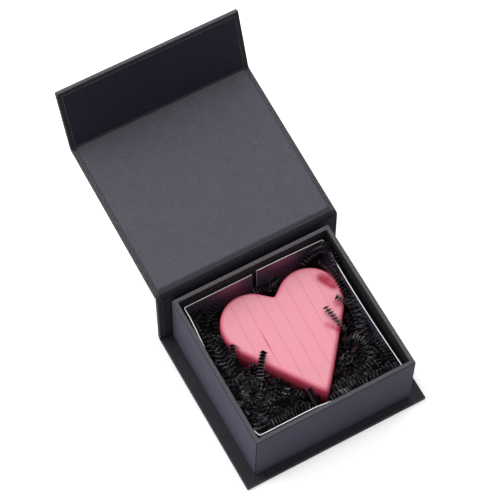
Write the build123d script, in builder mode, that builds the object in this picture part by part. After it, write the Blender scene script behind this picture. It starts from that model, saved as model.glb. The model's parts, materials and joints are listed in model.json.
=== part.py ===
"""Book-style rigid gift box, standing open, with a heart resting on crinkle shred.

Frame: X along the folds to the right, Y to the back, Z up. The origin is on the underside of the
base, below the middle of the tray. The front, where the flap closes, faces -Y. Lengths are in mm.
"""

import math
import os

from build123d import *

os.makedirs("parts", exist_ok=True)

# Board and paper stock
board_thickness = 2.0
cover_paper = 0.15
lining_paper = 0.12
stay_paper = 0.10
insert_board = 0.5
edge_round = 0.3
cut_overrun = 1.0

# Tray, measured over its covering paper
tray_width = 85.0
tray_depth = 82.4
tray_height = 39.8
tray_corner_radius = 0.5
tray_inner_turn_in = 30.0
tray_under_turn_in = 10.0
stay_leg = 9.0
stay_end_gap = 3.0

# Cover panels
case_side_overhang = 6.4
base_front_overhang = 4.4
case_turn_in = 12.0
lining_margin = 2.4
spine_gap = 1.04
lid_clearance = 0.15
flap_standoff = 2.8
flap_foot_gap = 3.0

# Paper folds: the flat gap between two boards, how deep below the outer face they turn,
# and how far the outer paper tucks into the lid's joint while it is open
fold_gap = 3.54
fold_depth = 1.4
pleat_depth = 1.7

# Panel directions while open, in degrees up from +Y
spine_angle = 88.53
lid_angle = 3.94
flap_angle = 72.41

# Hidden magnetic closure: the inset is from the tray's side to a disc's middle, and the drop
# from the flap's fold end down to it
magnet_diameter = 10.0
magnet_thickness = 1.5
strike_thickness = 1.0
pocket_clearance = 0.1
magnet_inset = 14.5
magnet_drop = 18.0

# Insert collar
collar_side_clearance = 2.1
collar_end_clearance = 0.8
collar_height = 31.4
collar_corner_radius = 0.8
collar_end_gap = 2.5

# Heart: two lobe circles with straight tangents to the tip and to the cleft. Shares are of the
# collar's smaller inner size
heart_width_share = 0.8053
lobe_spacing_share = 0.4
cleft_height_share = 0.102
heart_offset_shares = (0.052, 0.0333)
tip_half_angle = 36.3
tip_radius = 2.0
cleft_radius = 1.0
heart_thickness = 20.0
heart_edge_round = 2.2
heart_turn = -2.0
groove_width = 0.3
groove_depth = 0.5
groove_count = 7
groove_pitch_share = 0.0952

# Crinkle shred: a bed with a nest for the heart, and accordion-folded strips on it
bed_height = 12.6
bed_gap = 0.3
bed_round = 2.0
nest_depth = 8.2
strip_width = 3.2
strip_paper = 0.2
crinkle_height = 1.5
crinkle_count = 5
crinkle_pitch_share = 0.028
layer_gap = 0.3

# Strip places beside the heart, as shares of the collar's inner half size, and strip turns in degrees
strip_place_shares = [
    (-0.80, -0.80),
    (-0.80, -0.45),
    (-0.45, -0.80),
    (-0.82, -0.10),
    (-0.47, -0.45),
    (-0.12, -0.83),
    (0.82, -0.82),
    (0.48, -0.82),
    (0.82, -0.48),
    (0.83, -0.13),
    (-0.82, 0.80),
]
layer_turns = [12.0, 78.0, -38.0]
place_turn_step = 47.0

# Heights that the pieces share
base_top = board_thickness + 2 * cover_paper
panel_thickness = base_top + lining_paper
rim_height = base_top + tray_height
floor_bottom = base_top + cover_paper
floor_top = floor_bottom + board_thickness
floor_surface = floor_top + lining_paper
bed_top = floor_surface + bed_height
heart_bottom = bed_top - nest_depth
heart_top = heart_bottom + heart_thickness

# Tray outlines, from the covering inwards
seat_width = tray_width - 2 * cover_paper
seat_depth = tray_depth - 2 * cover_paper
board_outer_width = seat_width - 2 * stay_paper
board_outer_depth = seat_depth - 2 * stay_paper
board_inner_width = board_outer_width - 2 * board_thickness
board_inner_depth = board_outer_depth - 2 * board_thickness
cover_inner_width = board_inner_width - 2 * cover_paper
cover_inner_depth = board_inner_depth - 2 * cover_paper
wall_height = tray_height - 2 * cover_paper

# The cover is wider than the tray, the magnets follow its sides, and the collar stands loose in it
case_width = tray_width + 2 * case_side_overhang
magnet_spread = tray_width - 2 * magnet_inset
collar_width = cover_inner_width - 2 * collar_side_clearance
collar_depth = cover_inner_depth - 2 * collar_end_clearance
collar_inner_width = collar_width - 2 * insert_board
collar_inner_depth = collar_depth - 2 * insert_board
nest_size = min(collar_inner_width, collar_inner_depth)

# Panel lengths: the closed lid clears the rim, and the closed flap clears the tray's front and the base
fold_reach = fold_gap / 2 + fold_depth
closed_top = rim_height + lid_clearance + panel_thickness
base_front = -(tray_depth / 2 + base_front_overhang)
base_back = tray_depth / 2 + spine_gap + panel_thickness - fold_reach
spine_length = closed_top - 2 * fold_reach
lid_length = base_back - fold_reach + panel_thickness + tray_depth / 2 + flap_standoff
flap_length = closed_top - fold_reach - base_top - flap_foot_gap
strike_height = closed_top - fold_reach - magnet_drop


class Panel:
    """A cover panel: its outer start point in the YZ plane, its direction and its length."""

    def __init__(self, start, angle, length):
        self.start = start
        self.length = length
        self.along = Vector(math.cos(math.radians(angle)), math.sin(math.radians(angle)))
        self.inward = Vector(-self.along.Y, self.along.X)
        self.end = start + self.along * length

    def plane(self):
        """Workplane on the outer face: X across, Y along the panel, Z inwards."""
        origin = (0, self.start.X, self.start.Y)
        return Plane(origin, x_dir=(1, 0, 0), z_dir=(0, self.inward.X, self.inward.Y))

    def along_axis(self):
        """Axis along the panel, for choosing its long edges and its end faces."""
        return Axis((0, self.start.X, self.start.Y), (0, self.along.X, self.along.Y))

    def pivot_after(self):
        """Where the next panel turns, beyond this panel's end."""
        return self.end + self.along * (fold_gap / 2) + self.inward * fold_depth


def folded_panel(previous, angle, length):
    """The panel that follows another one across a paper fold."""
    turned = Panel(Vector(0, 0), angle, length)
    start = previous.pivot_after() + turned.along * (fold_gap / 2) - turned.inward * fold_depth
    return Panel(start, angle, length)


base = Panel(Vector(base_front, 0), 0, base_back - base_front)
spine = folded_panel(base, spine_angle, spine_length)
lid = folded_panel(spine, lid_angle, lid_length)
flap = folded_panel(lid, flap_angle, flap_length)

for fold_name, panel in (("base_fold", base), ("lid_fold", spine), ("flap_fold", lid)):
    pivot = panel.pivot_after()
    print(f"{fold_name} axis along X at y {pivot.X:.4f} z {pivot.Y:.4f}")


def keep(name, part):
    """Label a finished piece and write it under its own name."""
    part.label = name
    export_step(part, f"parts/{name}.step")


def panel_board(panel, wrapped_start=0, wrapped_end=0):
    """Greyboard of a panel, inset at its sides, and at the ends that the paper wraps."""
    with BuildPart() as board:
        with BuildSketch(panel.plane().offset(cover_paper)):
            with Locations((0, wrapped_start)):
                Rectangle(
                    case_width - 2 * cover_paper,
                    panel.length - wrapped_start - wrapped_end,
                    align=(Align.CENTER, Align.MIN),
                )
        extrude(amount=board_thickness)
    return board.part


def panel_cover(panel, wrapped_start=False, wrapped_end=False):
    """Covering paper of a panel: outer sheet, wrapped edges and turn-ins on the inner face."""
    seat_start = cover_paper if wrapped_start else -cut_overrun
    seat_end = panel.length - cover_paper if wrapped_end else panel.length + cut_overrun
    open_start = case_turn_in if wrapped_start else -cut_overrun
    open_end = panel.length - case_turn_in if wrapped_end else panel.length + cut_overrun
    with BuildPart() as cover:
        with BuildSketch(panel.plane()):
            Rectangle(case_width, panel.length, align=(Align.CENTER, Align.MIN))
        extrude(amount=base_top)
        soft_edges = cover.edges().filter_by(panel.along_axis())
        if wrapped_start:
            soft_edges += cover.faces().sort_by(panel.along_axis())[0].edges()
        if wrapped_end:
            soft_edges += cover.faces().sort_by(panel.along_axis())[-1].edges()
        fillet(soft_edges, edge_round)
        with BuildSketch(panel.plane().offset(cover_paper)):
            with Locations((0, seat_start)):
                Rectangle(
                    case_width - 2 * cover_paper,
                    seat_end - seat_start,
                    align=(Align.CENTER, Align.MIN),
                )
        extrude(amount=board_thickness, mode=Mode.SUBTRACT)
        with BuildSketch(panel.plane().offset(cover_paper + board_thickness)):
            with Locations((0, open_start)):
                Rectangle(
                    case_width - 2 * case_turn_in,
                    open_end - open_start,
                    align=(Align.CENTER, Align.MIN),
                )
        extrude(amount=cover_paper + cut_overrun, mode=Mode.SUBTRACT)
    return cover.part


def panel_lining(panel, end_margin=0, end_turn_in=0):
    """Inner sheet of a panel: it lies on the board between the turn-ins, and laps over them."""
    with BuildPart() as lining:
        with BuildSketch(panel.plane().offset(cover_paper + board_thickness)):
            Rectangle(
                case_width - 2 * case_turn_in,
                panel.length - end_turn_in,
                align=(Align.CENTER, Align.MIN),
            )
        extrude(amount=cover_paper)
        with BuildSketch(panel.plane().offset(base_top)):
            Rectangle(
                case_width - 2 * lining_margin,
                panel.length - end_margin,
                align=(Align.CENTER, Align.MIN),
            )
        extrude(amount=lining_paper)
    return lining.part


def fold_paper(before, after, depth, thickness, width):
    """A strip of paper that bends across a fold, at a depth below the panels' outer faces."""
    with BuildPart() as strip:
        with BuildSketch(Plane.YZ):
            with BuildLine():
                near_start = before.end + before.inward * depth
                near_end = after.start + after.inward * depth
                far_start = before.end + before.inward * (depth + thickness)
                far_end = after.start + after.inward * (depth + thickness)
                TangentArc(near_start, near_end, tangent=before.along)
                TangentArc(far_start, far_end, tangent=before.along)
                Line(near_start, far_start)
                Line(near_end, far_end)
            make_face()
        extrude(amount=width / 2, both=True)
    return strip.part


# Cover panels
keep("base_board", panel_board(base, wrapped_start=cover_paper))
keep("base_cover", panel_cover(base, wrapped_start=True))
keep("spine_board", panel_board(spine))
keep("spine_cover", panel_cover(spine))
keep("spine_lining", panel_lining(spine))
keep("lid_board", panel_board(lid))
keep("lid_cover", panel_cover(lid))
keep("lid_lining", panel_lining(lid))
keep("flap_cover", panel_cover(flap, wrapped_end=True))
keep("flap_lining", panel_lining(flap, end_margin=lining_margin, end_turn_in=case_turn_in))

# Flap board with its magnet pockets open to the inner face
magnet_plane = flap.plane().offset(cover_paper + board_thickness)
magnet_places = [(-magnet_spread / 2, magnet_drop), (magnet_spread / 2, magnet_drop)]
with BuildPart() as flap_board:
    add(panel_board(flap, wrapped_end=cover_paper))
    with BuildSketch(magnet_plane):
        with Locations(*magnet_places):
            Circle(magnet_diameter / 2 + pocket_clearance)
    extrude(amount=-magnet_thickness, mode=Mode.SUBTRACT)
keep("flap_board", flap_board.part)

with BuildPart() as flap_magnets:
    with BuildSketch(magnet_plane):
        with Locations(*magnet_places):
            Circle(magnet_diameter / 2)
    extrude(amount=-magnet_thickness)
keep("flap_magnets", flap_magnets.part)

# Paper folds between the panels
lining_depth = panel_thickness - lining_paper
lining_width = case_width - 2 * lining_margin
keep("base_hinge_cover", fold_paper(base, spine, 0, cover_paper, case_width))
keep("lid_hinge_lining", fold_paper(spine, lid, lining_depth, lining_paper, lining_width))
keep("flap_hinge_cover", fold_paper(lid, flap, 0, cover_paper, case_width))
keep("flap_hinge_lining", fold_paper(lid, flap, lining_depth, lining_paper, lining_width))

# The outer paper of the lid's fold is tucked into the joint as a pleat while the lid is open
pleat_mouth = (spine.end + lid.start) * 0.5
pleat_direction = (spine.pivot_after() - pleat_mouth).normalized()
with BuildPart() as lid_hinge_cover:
    with BuildSketch(Plane.YZ):
        with BuildLine():
            Polyline(
                spine.end,
                pleat_mouth + pleat_direction * pleat_depth,
                lid.start,
                lid.start + lid.inward * cover_paper,
                pleat_mouth + pleat_direction * (pleat_depth + 2 * cover_paper),
                spine.end + spine.inward * cover_paper,
                close=True,
            )
        make_face()
    extrude(amount=case_width / 2, both=True)
keep("lid_hinge_cover", lid_hinge_cover.part)

# Tray boards: the front and back run the full width, and the sides stand between them
with BuildPart() as tray_floor_board:
    with BuildSketch(Plane.XY.offset(floor_bottom)):
        Rectangle(board_inner_width, board_inner_depth)
    extrude(amount=board_thickness)
keep("tray_floor_board", tray_floor_board.part)

wall_plane = Plane.XY.offset(floor_bottom)
front_wall_y = (board_outer_depth - board_thickness) / 2
side_wall_x = (board_outer_width - board_thickness) / 2

strike_plane = Plane((0, -board_outer_depth / 2, strike_height), x_dir=(1, 0, 0), z_dir=(0, -1, 0))
strike_places = [(-magnet_spread / 2, 0), (magnet_spread / 2, 0)]
with BuildPart() as tray_front_board:
    with BuildSketch(wall_plane):
        with Locations((0, -front_wall_y)):
            Rectangle(board_outer_width, board_thickness)
    extrude(amount=wall_height)
    with BuildSketch(strike_plane):
        with Locations(*strike_places):
            Circle(magnet_diameter / 2 + pocket_clearance)
    extrude(amount=-strike_thickness, mode=Mode.SUBTRACT)
keep("tray_front_board", tray_front_board.part)

with BuildPart() as strike_discs:
    with BuildSketch(strike_plane):
        with Locations(*strike_places):
            Circle(magnet_diameter / 2)
    extrude(amount=-strike_thickness)
keep("strike_discs", strike_discs.part)

with BuildPart() as tray_back_board:
    with BuildSketch(wall_plane):
        with Locations((0, front_wall_y)):
            Rectangle(board_outer_width, board_thickness)
    extrude(amount=wall_height)
keep("tray_back_board", tray_back_board.part)

for side_name, side_x in (("left", -side_wall_x), ("right", side_wall_x)):
    with BuildPart() as side_board:
        with BuildSketch(wall_plane):
            with Locations((side_x, 0)):
                Rectangle(board_thickness, board_inner_depth)
        extrude(amount=wall_height)
    keep(f"tray_{side_name}_board", side_board.part)

# Corner stays: paper angles glued round the four upright corners, under the covering
with BuildPart() as tray_corner_stays:
    with BuildSketch(wall_plane.offset(stay_end_gap)):
        Rectangle(seat_width, seat_depth)
        Rectangle(board_outer_width, board_outer_depth, mode=Mode.SUBTRACT)
        Rectangle(seat_width, board_outer_depth - 2 * stay_leg, mode=Mode.SUBTRACT)
        Rectangle(board_outer_width - 2 * stay_leg, seat_depth, mode=Mode.SUBTRACT)
    extrude(amount=wall_height - 2 * stay_end_gap)
keep("tray_corner_stays", tray_corner_stays.part)

# Tray covering: under the walls, up the outside, over the rim and down the inside
with BuildPart() as tray_cover:
    with BuildSketch(Plane.XY.offset(base_top)):
        RectangleRounded(tray_width, tray_depth, tray_corner_radius)
        Rectangle(cover_inner_width, cover_inner_depth, mode=Mode.SUBTRACT)
    extrude(amount=tray_height)
    fillet(tray_cover.faces().sort_by(Axis.Z)[-1].edges(), edge_round)
    with BuildSketch(wall_plane):
        Rectangle(seat_width, seat_depth)
        Rectangle(board_inner_width, board_inner_depth, mode=Mode.SUBTRACT)
    extrude(amount=wall_height, mode=Mode.SUBTRACT)
    with BuildSketch(wall_plane):
        Rectangle(board_inner_width, board_inner_depth)
    extrude(amount=wall_height + cover_paper - tray_inner_turn_in, mode=Mode.SUBTRACT)
    with BuildSketch(Plane.XY.offset(base_top)):
        Rectangle(seat_width, seat_depth)
        Rectangle(
            seat_width - 2 * tray_under_turn_in,
            seat_depth - 2 * tray_under_turn_in,
            mode=Mode.SUBTRACT,
        )
    extrude(amount=cover_paper)
keep("tray_cover", tray_cover.part)

with BuildPart() as tray_floor_lining:
    with BuildSketch(Plane.XY.offset(floor_top)):
        Rectangle(board_inner_width, board_inner_depth)
    extrude(amount=lining_paper)
keep("tray_floor_lining", tray_floor_lining.part)

# Insert collar: one strip folded at the corners, with its ends apart at the middle of the back
with BuildPart() as insert_collar:
    with BuildSketch(Plane.XY.offset(floor_surface)):
        RectangleRounded(collar_width, collar_depth, collar_corner_radius)
        Rectangle(collar_inner_width, collar_inner_depth, mode=Mode.SUBTRACT)
        with Locations((0, collar_depth / 2)):
            Rectangle(collar_end_gap, 2 * (insert_board + collar_corner_radius), mode=Mode.SUBTRACT)
    extrude(amount=collar_height)
keep("insert_collar", insert_collar.part)

# Heart
half_spacing = nest_size * lobe_spacing_share / 2
lobe_radius = nest_size * heart_width_share / 2 - half_spacing
cleft_height = nest_size * cleft_height_share
groove_pitch = nest_size * groove_pitch_share
heart_center_x, heart_center_y = [nest_size * share for share in heart_offset_shares]
tip_turn = math.radians(tip_half_angle)
side_x = half_spacing + lobe_radius * math.cos(tip_turn)
side_drop = lobe_radius * math.sin(tip_turn)
tip_drop = side_drop + side_x / math.tan(tip_turn)
lobe_line = (tip_drop - lobe_radius) / 2
cleft_reach = math.hypot(half_spacing, cleft_height)
cleft_turn = math.asin(lobe_radius / cleft_reach) - math.atan2(cleft_height, half_spacing)
cleft_run = math.sqrt(cleft_reach**2 - lobe_radius**2)
heart_radians = math.radians(heart_turn)
heart_x_dir = (math.cos(heart_radians), math.sin(heart_radians), 0)


def heart_plane(height):
    """Workplane of the heart at a height, turned with it, with its origin at the heart's middle."""
    return Plane((heart_center_x, heart_center_y, height), x_dir=heart_x_dir, z_dir=(0, 0, 1))


def heart_outline():
    """Face of the heart seen from above: tip towards -Y, cleft towards +Y."""
    with BuildSketch() as outline:
        with BuildLine():
            tip = (0, lobe_line - tip_drop)
            side = (side_x, lobe_line - side_drop)
            top = (half_spacing, lobe_line + lobe_radius)
            cleft = (0, lobe_line + cleft_height)
            shoulder = (
                cleft_run * math.cos(cleft_turn),
                lobe_line + cleft_height + cleft_run * math.sin(cleft_turn),
            )
            outer = (half_spacing + lobe_radius, lobe_line)
            Line(tip, side)
            ThreePointArc(side, outer, top)
            TangentArc(top, shoulder, tangent=(-1, 0))
            Line(shoulder, cleft)
            mirror(about=Plane.YZ)
        make_face()
        fillet(outline.vertices().sort_by(Axis.Y)[0], tip_radius)
        fillet(outline.vertices().sort_by_distance(cleft)[0], cleft_radius)
    return outline.sketch


with BuildPart() as heart:
    with BuildSketch(heart_plane(heart_bottom)):
        add(heart_outline())
    extrude(amount=heart_thickness)
    fillet(heart.faces().sort_by(Axis.Z)[-1].edges(), heart_edge_round)
    with BuildSketch(heart_plane(heart_top)):
        with GridLocations(groove_pitch, 0, groove_count, 1):
            Rectangle(groove_width, 2 * tip_drop)
    extrude(amount=-groove_depth, mode=Mode.SUBTRACT)
keep("heart", heart.part)

# Shred bed inside the collar, with a nest that the heart sits in
with BuildPart() as shred_bed:
    with BuildSketch(Plane.XY.offset(floor_surface)):
        Rectangle(collar_inner_width - 2 * bed_gap, collar_inner_depth - 2 * bed_gap)
    extrude(amount=bed_height)
    fillet(shred_bed.faces().sort_by(Axis.Z)[-1].edges(), bed_round)
    with BuildSketch(heart_plane(bed_top)):
        add(heart_outline())
        offset(amount=bed_gap)
    extrude(amount=-nest_depth, mode=Mode.SUBTRACT)
keep("shred_bed", shred_bed.part)

# Crinkle strips: zigzag strips in layers on the bed, each layer turned against the one below
crinkle_pitch = nest_size * crinkle_pitch_share
layer_step = crinkle_height + strip_paper + layer_gap
strip_half_length = crinkle_count * crinkle_pitch / 2
crease_count = 2 * crinkle_count + 1
lower_creases = [
    (crease * crinkle_pitch / 2 - strip_half_length, crinkle_height * (crease % 2))
    for crease in range(crease_count)
]
upper_creases = [(across, up + strip_paper) for across, up in reversed(lower_creases)]
with BuildPart() as crinkle_strips:
    for layer, layer_turn in enumerate(layer_turns):
        strip_bottom = bed_top + layer_gap + layer * layer_step
        for place, (share_x, share_y) in enumerate(strip_place_shares):
            turn = math.radians(layer_turn + place * place_turn_step)
            strip_plane = Plane(
                (share_x * collar_inner_width / 2, share_y * collar_inner_depth / 2, strip_bottom),
                x_dir=(math.cos(turn), math.sin(turn), 0),
                z_dir=(math.sin(turn), -math.cos(turn), 0),
            )
            with BuildSketch(strip_plane):
                with BuildLine():
                    Polyline(*lower_creases, *upper_creases, close=True)
                make_face()
            extrude(amount=strip_width / 2, both=True)
keep("crinkle_strips", crinkle_strips.part)
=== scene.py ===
"""Book-style rigid gift box, standing open, with a pink heart on black crinkle shred.

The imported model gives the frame: X along the folds to the right, Y to the back, Z up, in metres. Every
piece is worked out as arrays in that frame, and each object sits at the origin.
"""

import json
import logging
import math
from collections.abc import Sequence
from dataclasses import dataclass, field
from enum import Enum
from functools import cache
from typing import Any

import bmesh
import bpy
import numpy as np
from mathutils import Matrix
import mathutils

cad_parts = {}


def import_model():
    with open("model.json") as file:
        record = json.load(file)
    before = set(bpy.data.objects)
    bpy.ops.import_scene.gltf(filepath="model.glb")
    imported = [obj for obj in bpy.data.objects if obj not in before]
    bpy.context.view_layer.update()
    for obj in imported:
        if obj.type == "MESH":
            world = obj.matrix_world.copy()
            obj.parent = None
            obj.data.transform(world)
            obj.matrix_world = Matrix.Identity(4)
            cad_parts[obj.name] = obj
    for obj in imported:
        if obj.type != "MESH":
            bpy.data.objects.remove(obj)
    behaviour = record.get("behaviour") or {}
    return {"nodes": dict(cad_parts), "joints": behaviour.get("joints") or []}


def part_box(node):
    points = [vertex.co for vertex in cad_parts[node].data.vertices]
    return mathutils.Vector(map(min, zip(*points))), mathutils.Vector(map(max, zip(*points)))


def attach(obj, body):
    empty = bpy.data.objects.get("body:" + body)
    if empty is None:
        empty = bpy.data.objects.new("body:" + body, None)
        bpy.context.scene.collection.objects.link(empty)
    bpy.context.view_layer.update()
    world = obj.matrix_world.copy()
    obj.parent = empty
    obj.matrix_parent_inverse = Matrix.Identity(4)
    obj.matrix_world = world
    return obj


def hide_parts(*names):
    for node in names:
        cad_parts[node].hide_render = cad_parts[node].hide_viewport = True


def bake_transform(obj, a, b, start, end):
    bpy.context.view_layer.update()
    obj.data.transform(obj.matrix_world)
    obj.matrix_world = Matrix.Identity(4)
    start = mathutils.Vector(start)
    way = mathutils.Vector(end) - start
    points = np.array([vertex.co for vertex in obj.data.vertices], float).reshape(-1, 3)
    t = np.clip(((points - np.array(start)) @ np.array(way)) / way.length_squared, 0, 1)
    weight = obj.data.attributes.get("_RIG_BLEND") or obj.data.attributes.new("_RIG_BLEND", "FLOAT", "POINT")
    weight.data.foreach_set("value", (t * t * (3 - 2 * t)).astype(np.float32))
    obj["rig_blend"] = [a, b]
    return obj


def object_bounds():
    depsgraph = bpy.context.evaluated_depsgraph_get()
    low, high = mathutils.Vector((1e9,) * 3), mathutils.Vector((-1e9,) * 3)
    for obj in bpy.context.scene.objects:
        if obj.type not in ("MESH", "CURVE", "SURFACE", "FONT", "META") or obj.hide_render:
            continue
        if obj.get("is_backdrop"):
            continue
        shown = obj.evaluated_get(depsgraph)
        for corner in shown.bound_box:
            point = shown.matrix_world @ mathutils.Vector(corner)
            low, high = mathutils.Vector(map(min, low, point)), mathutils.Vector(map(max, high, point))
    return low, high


logging.basicConfig(level=logging.INFO, format="%(name)s: %(message)s")
log = logging.getLogger("gift_box")

MM = 0.001
Array = np.ndarray
Span = tuple[float, float]
Color = tuple[float, float, float]
Vector = tuple[float, float, float]

BLACK: Color = (0.0, 0.0, 0.0)
WHITE: Color = (1.0, 1.0, 1.0)
# Where the flat beside a rounded edge begins, in radii of the round.
PAST_ROUND = 1.15


# Shader graphs


class Value:
    """A number socket in a shader graph, with arithmetic that adds Math nodes."""

    def __init__(self, graph: "Graph", socket: bpy.types.NodeSocket) -> None:
        """Keep the graph that the socket belongs to."""
        self.graph = graph
        self.socket = socket

    def math(self, operation: str, *others: Any) -> "Value":
        """Apply a Math node to this value.

        Args:
            operation: The Math node's operation.
            others: Its further inputs, as numbers or values.

        Returns:
            The result.
        """
        inputs = dict(enumerate((self, *others)))
        return self.graph.node("ShaderNodeMath", {"operation": operation}, inputs).out()

    def __add__(self, other: Any) -> "Value":
        """This plus other."""
        return self.math("ADD", other)

    def __radd__(self, other: Any) -> "Value":
        """Other plus this."""
        return self.math("ADD", other)

    def __sub__(self, other: Any) -> "Value":
        """This minus other."""
        return self.math("SUBTRACT", other)

    def __rsub__(self, other: Any) -> "Value":
        """Other minus this, as in 1 - mask."""
        return (self * -1.0) + other

    def __mul__(self, other: Any) -> "Value":
        """This times other."""
        return self.math("MULTIPLY", other)

    def __rmul__(self, other: Any) -> "Value":
        """Other times this."""
        return self.math("MULTIPLY", other)

    def __abs__(self) -> "Value":
        """Size of this without its sign."""
        return self.math("ABSOLUTE")

    def ramp(self, low: float, high: float, start: float = 0.0, end: float = 1.0) -> "Value":
        """Ease from start to end while this goes from low to high.

        Args:
            low: Where the change begins.
            high: Where it ends.
            start: Result at and below low.
            end: Result at and above high.

        Returns:
            The eased value.
        """
        settings = {"interpolation_type": "SMOOTHSTEP"}
        inputs = {"Value": self, "From Min": low, "From Max": high, "To Min": start, "To Max": end}
        return self.graph.node("ShaderNodeMapRange", settings, inputs).out("Result")


class Node:
    """A node in a shader graph."""

    def __init__(self, graph: "Graph", node: bpy.types.Node) -> None:
        """Keep the graph that the node belongs to."""
        self.graph = graph
        self.node = node

    def out(self, name: str | int = 0) -> Value:
        """One of the node's outputs, by name or place."""
        return Value(self.graph, self.node.outputs[name])


class Graph:
    """The node tree of a material or a world."""

    def __init__(self, owner: bpy.types.Material | bpy.types.World) -> None:
        """Start an empty tree.

        Args:
            owner: The material or world that the tree is for.
        """
        owner.use_nodes = True
        self.tree = owner.node_tree
        self.tree.nodes.clear()

    def node(self, kind: str, settings: dict | None = None, inputs: dict | None = None) -> Node:
        """Add a node.

        Args:
            kind: The node's type.
            settings: Attributes of the node, set first.
            inputs: Values or links of its sockets, by name or place.

        Returns:
            The new node.
        """
        node = self.tree.nodes.new(kind)
        for key, setting in (settings or {}).items():
            setattr(node, key, setting)
        for key, given in (inputs or {}).items():
            if isinstance(given, Value):
                self.tree.links.new(given.socket, node.inputs[key])
            else:
                node.inputs[key].default_value = given
        return Node(self, node)

    def place(self) -> Value:
        """Object coordinates, in metres."""
        return self.node("ShaderNodeTexCoord").out("Object")

    def attribute(self, name: str) -> Value:
        """A number that the mesh carries at its points."""
        return self.node("ShaderNodeAttribute", {"attribute_name": name}).out("Fac")

    def noise(self, at: Value, size: float, detail: float = 2.0, rough: float = 0.5) -> Value:
        """Noise from 0 to 1 with patches of about the given size in metres."""
        inputs = {"Vector": at, "Scale": 1.0 / size, "Detail": detail, "Roughness": rough}
        return self.node("ShaderNodeTexNoise", None, inputs).out("Fac")

    def mix(self, share: Any, first: Any, second: Any, blend: str = "MIX") -> Value:
        """Mix two colors.

        Args:
            share: How much of the second.
            first: A color or a color socket.
            second: A color or a color socket.
            blend: How the second is laid on the first.

        Returns:
            The mixed color.
        """
        settings = {"data_type": "RGBA", "blend_type": blend}
        colors = [c if isinstance(c, Value) else (*c, 1.0) for c in (first, second)]
        return self.node("ShaderNodeMix", settings, {0: share, 6: colors[0], 7: colors[1]}).out(2)

    def bump(self, height: Value, depth: float) -> Value:
        """Normal of a relief of the given depth in metres."""
        inputs = {"Height": height, "Distance": depth, "Strength": 1.0}
        return self.node("ShaderNodeBump", None, inputs).out()

    def surface(self, inputs: dict) -> None:
        """Finish a material with a Principled shader."""
        shader = self.node("ShaderNodeBsdfPrincipled", None, inputs).out()
        self.node("ShaderNodeOutputMaterial", None, {"Surface": shader})


# Finishes


@dataclass(frozen=True)
class SurfaceFinish:
    """A finish of the object: a named material with a graph of its own.

    Attributes:
        name: Material name.
    """

    name: str

    def material(self) -> bpy.types.Material:
        """Make the material and paint it.

        Returns:
            The new material.
        """
        material = bpy.data.materials.new(self.name)
        self.paint(Graph(material))
        return material

    def paint(self, graph: Graph) -> None:
        """Fill the material's graph."""
        raise NotImplementedError


@dataclass(frozen=True)
class PaperFinish(SurfaceFinish):
    """Matte dyed paper: cloudy color, fine grain, a few pale fibres, toned edges, and painted shade where a
    piece marks it.

    Attributes:
        color: Mean color.
        cloud: How far the color wanders over the sheet, as a share.
        mottle: How far it varies with the grain, as a share.
        edge: Color that the edges tend to: worn edges on most papers, and on the lining a dark one that
            paints a shadow line.
        edge_share: How much of it they take.
        dark: Color of the painted shade in creases and inside, and of the tray's dark seam.
        fibre: Color of the stray fibres.
        roughness: Mean roughness.
        grain: Depth of the grain in metres.
        specular: Strength of the surface reflection.
    """

    color: Color
    cloud: float = 0.24
    mottle: float = 0.9
    edge: Color = (0.30, 0.30, 0.32)
    edge_share: float = 0.10
    dark: Color = (0.009, 0.009, 0.011)
    fibre: Color = (0.42, 0.42, 0.44)
    roughness: float = 0.72
    grain: float = 0.06 * MM
    specular: float = 0.12

    def paint(self, graph: Graph) -> None:
        """Lay clouds, grain, the edge tone, painted shade in creases and inside, the dark seam and stray
        fibres over the color.

        Args:
            graph: The graph of a new material.
        """
        at = graph.place()
        clouds = graph.noise(at, 6.0 * MM, 4.0, 0.6)
        grain = graph.noise(at, 0.75 * MM, 3.0, 0.65)
        threads = graph.noise(at, 0.28 * MM, 2.0, 0.6)
        cells = {"Vector": at, "Scale": 1.0 / (2.3 * MM)}
        fibres = graph.node("ShaderNodeTexVoronoi", {"feature": "F1"}, cells)
        chance = graph.node("ShaderNodeRGBToBW", None, {"Color": fibres.out("Color")}).out()
        rare = chance.math("GREATER_THAN", 0.62)
        speck = fibres.out("Distance").ramp(0.05, 0.13, 1.0, 0.0) * rare
        # The edge mark: wear on most papers, and a painted shadow line on the dark-edged lining.
        rub = graph.attribute("edge")
        tone = 1.0 + (clouds - 0.5) * self.cloud + (grain - 0.5) * (rub * 1.8 + self.mottle)
        shade = graph.node("ShaderNodeCombineColor", None, {0: tone, 1: tone, 2: tone}).out()
        body = graph.mix(rub * (0.6 + grain * 0.8) * self.edge_share, self.color, self.edge)
        body = graph.mix(1.0, body, shade, "MULTIPLY")
        # Painted shade: the dark mark darkens creases, bends and the tray's inside, rim line and foot; it
        # also draws the tray's real seam.
        body = graph.mix(graph.attribute("dark") * (0.75 + grain * 0.5), body, self.dark)
        body = graph.mix(speck * 0.18, body, self.fibre)
        graph.surface(
            {
                "Base Color": body,
                "Roughness": self.roughness + (grain - 0.5) * 0.2,
                "Specular IOR Level": self.specular,
                "Normal": graph.bump(grain * 0.6 + threads * 0.4, self.grain),
            }
        )


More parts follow.
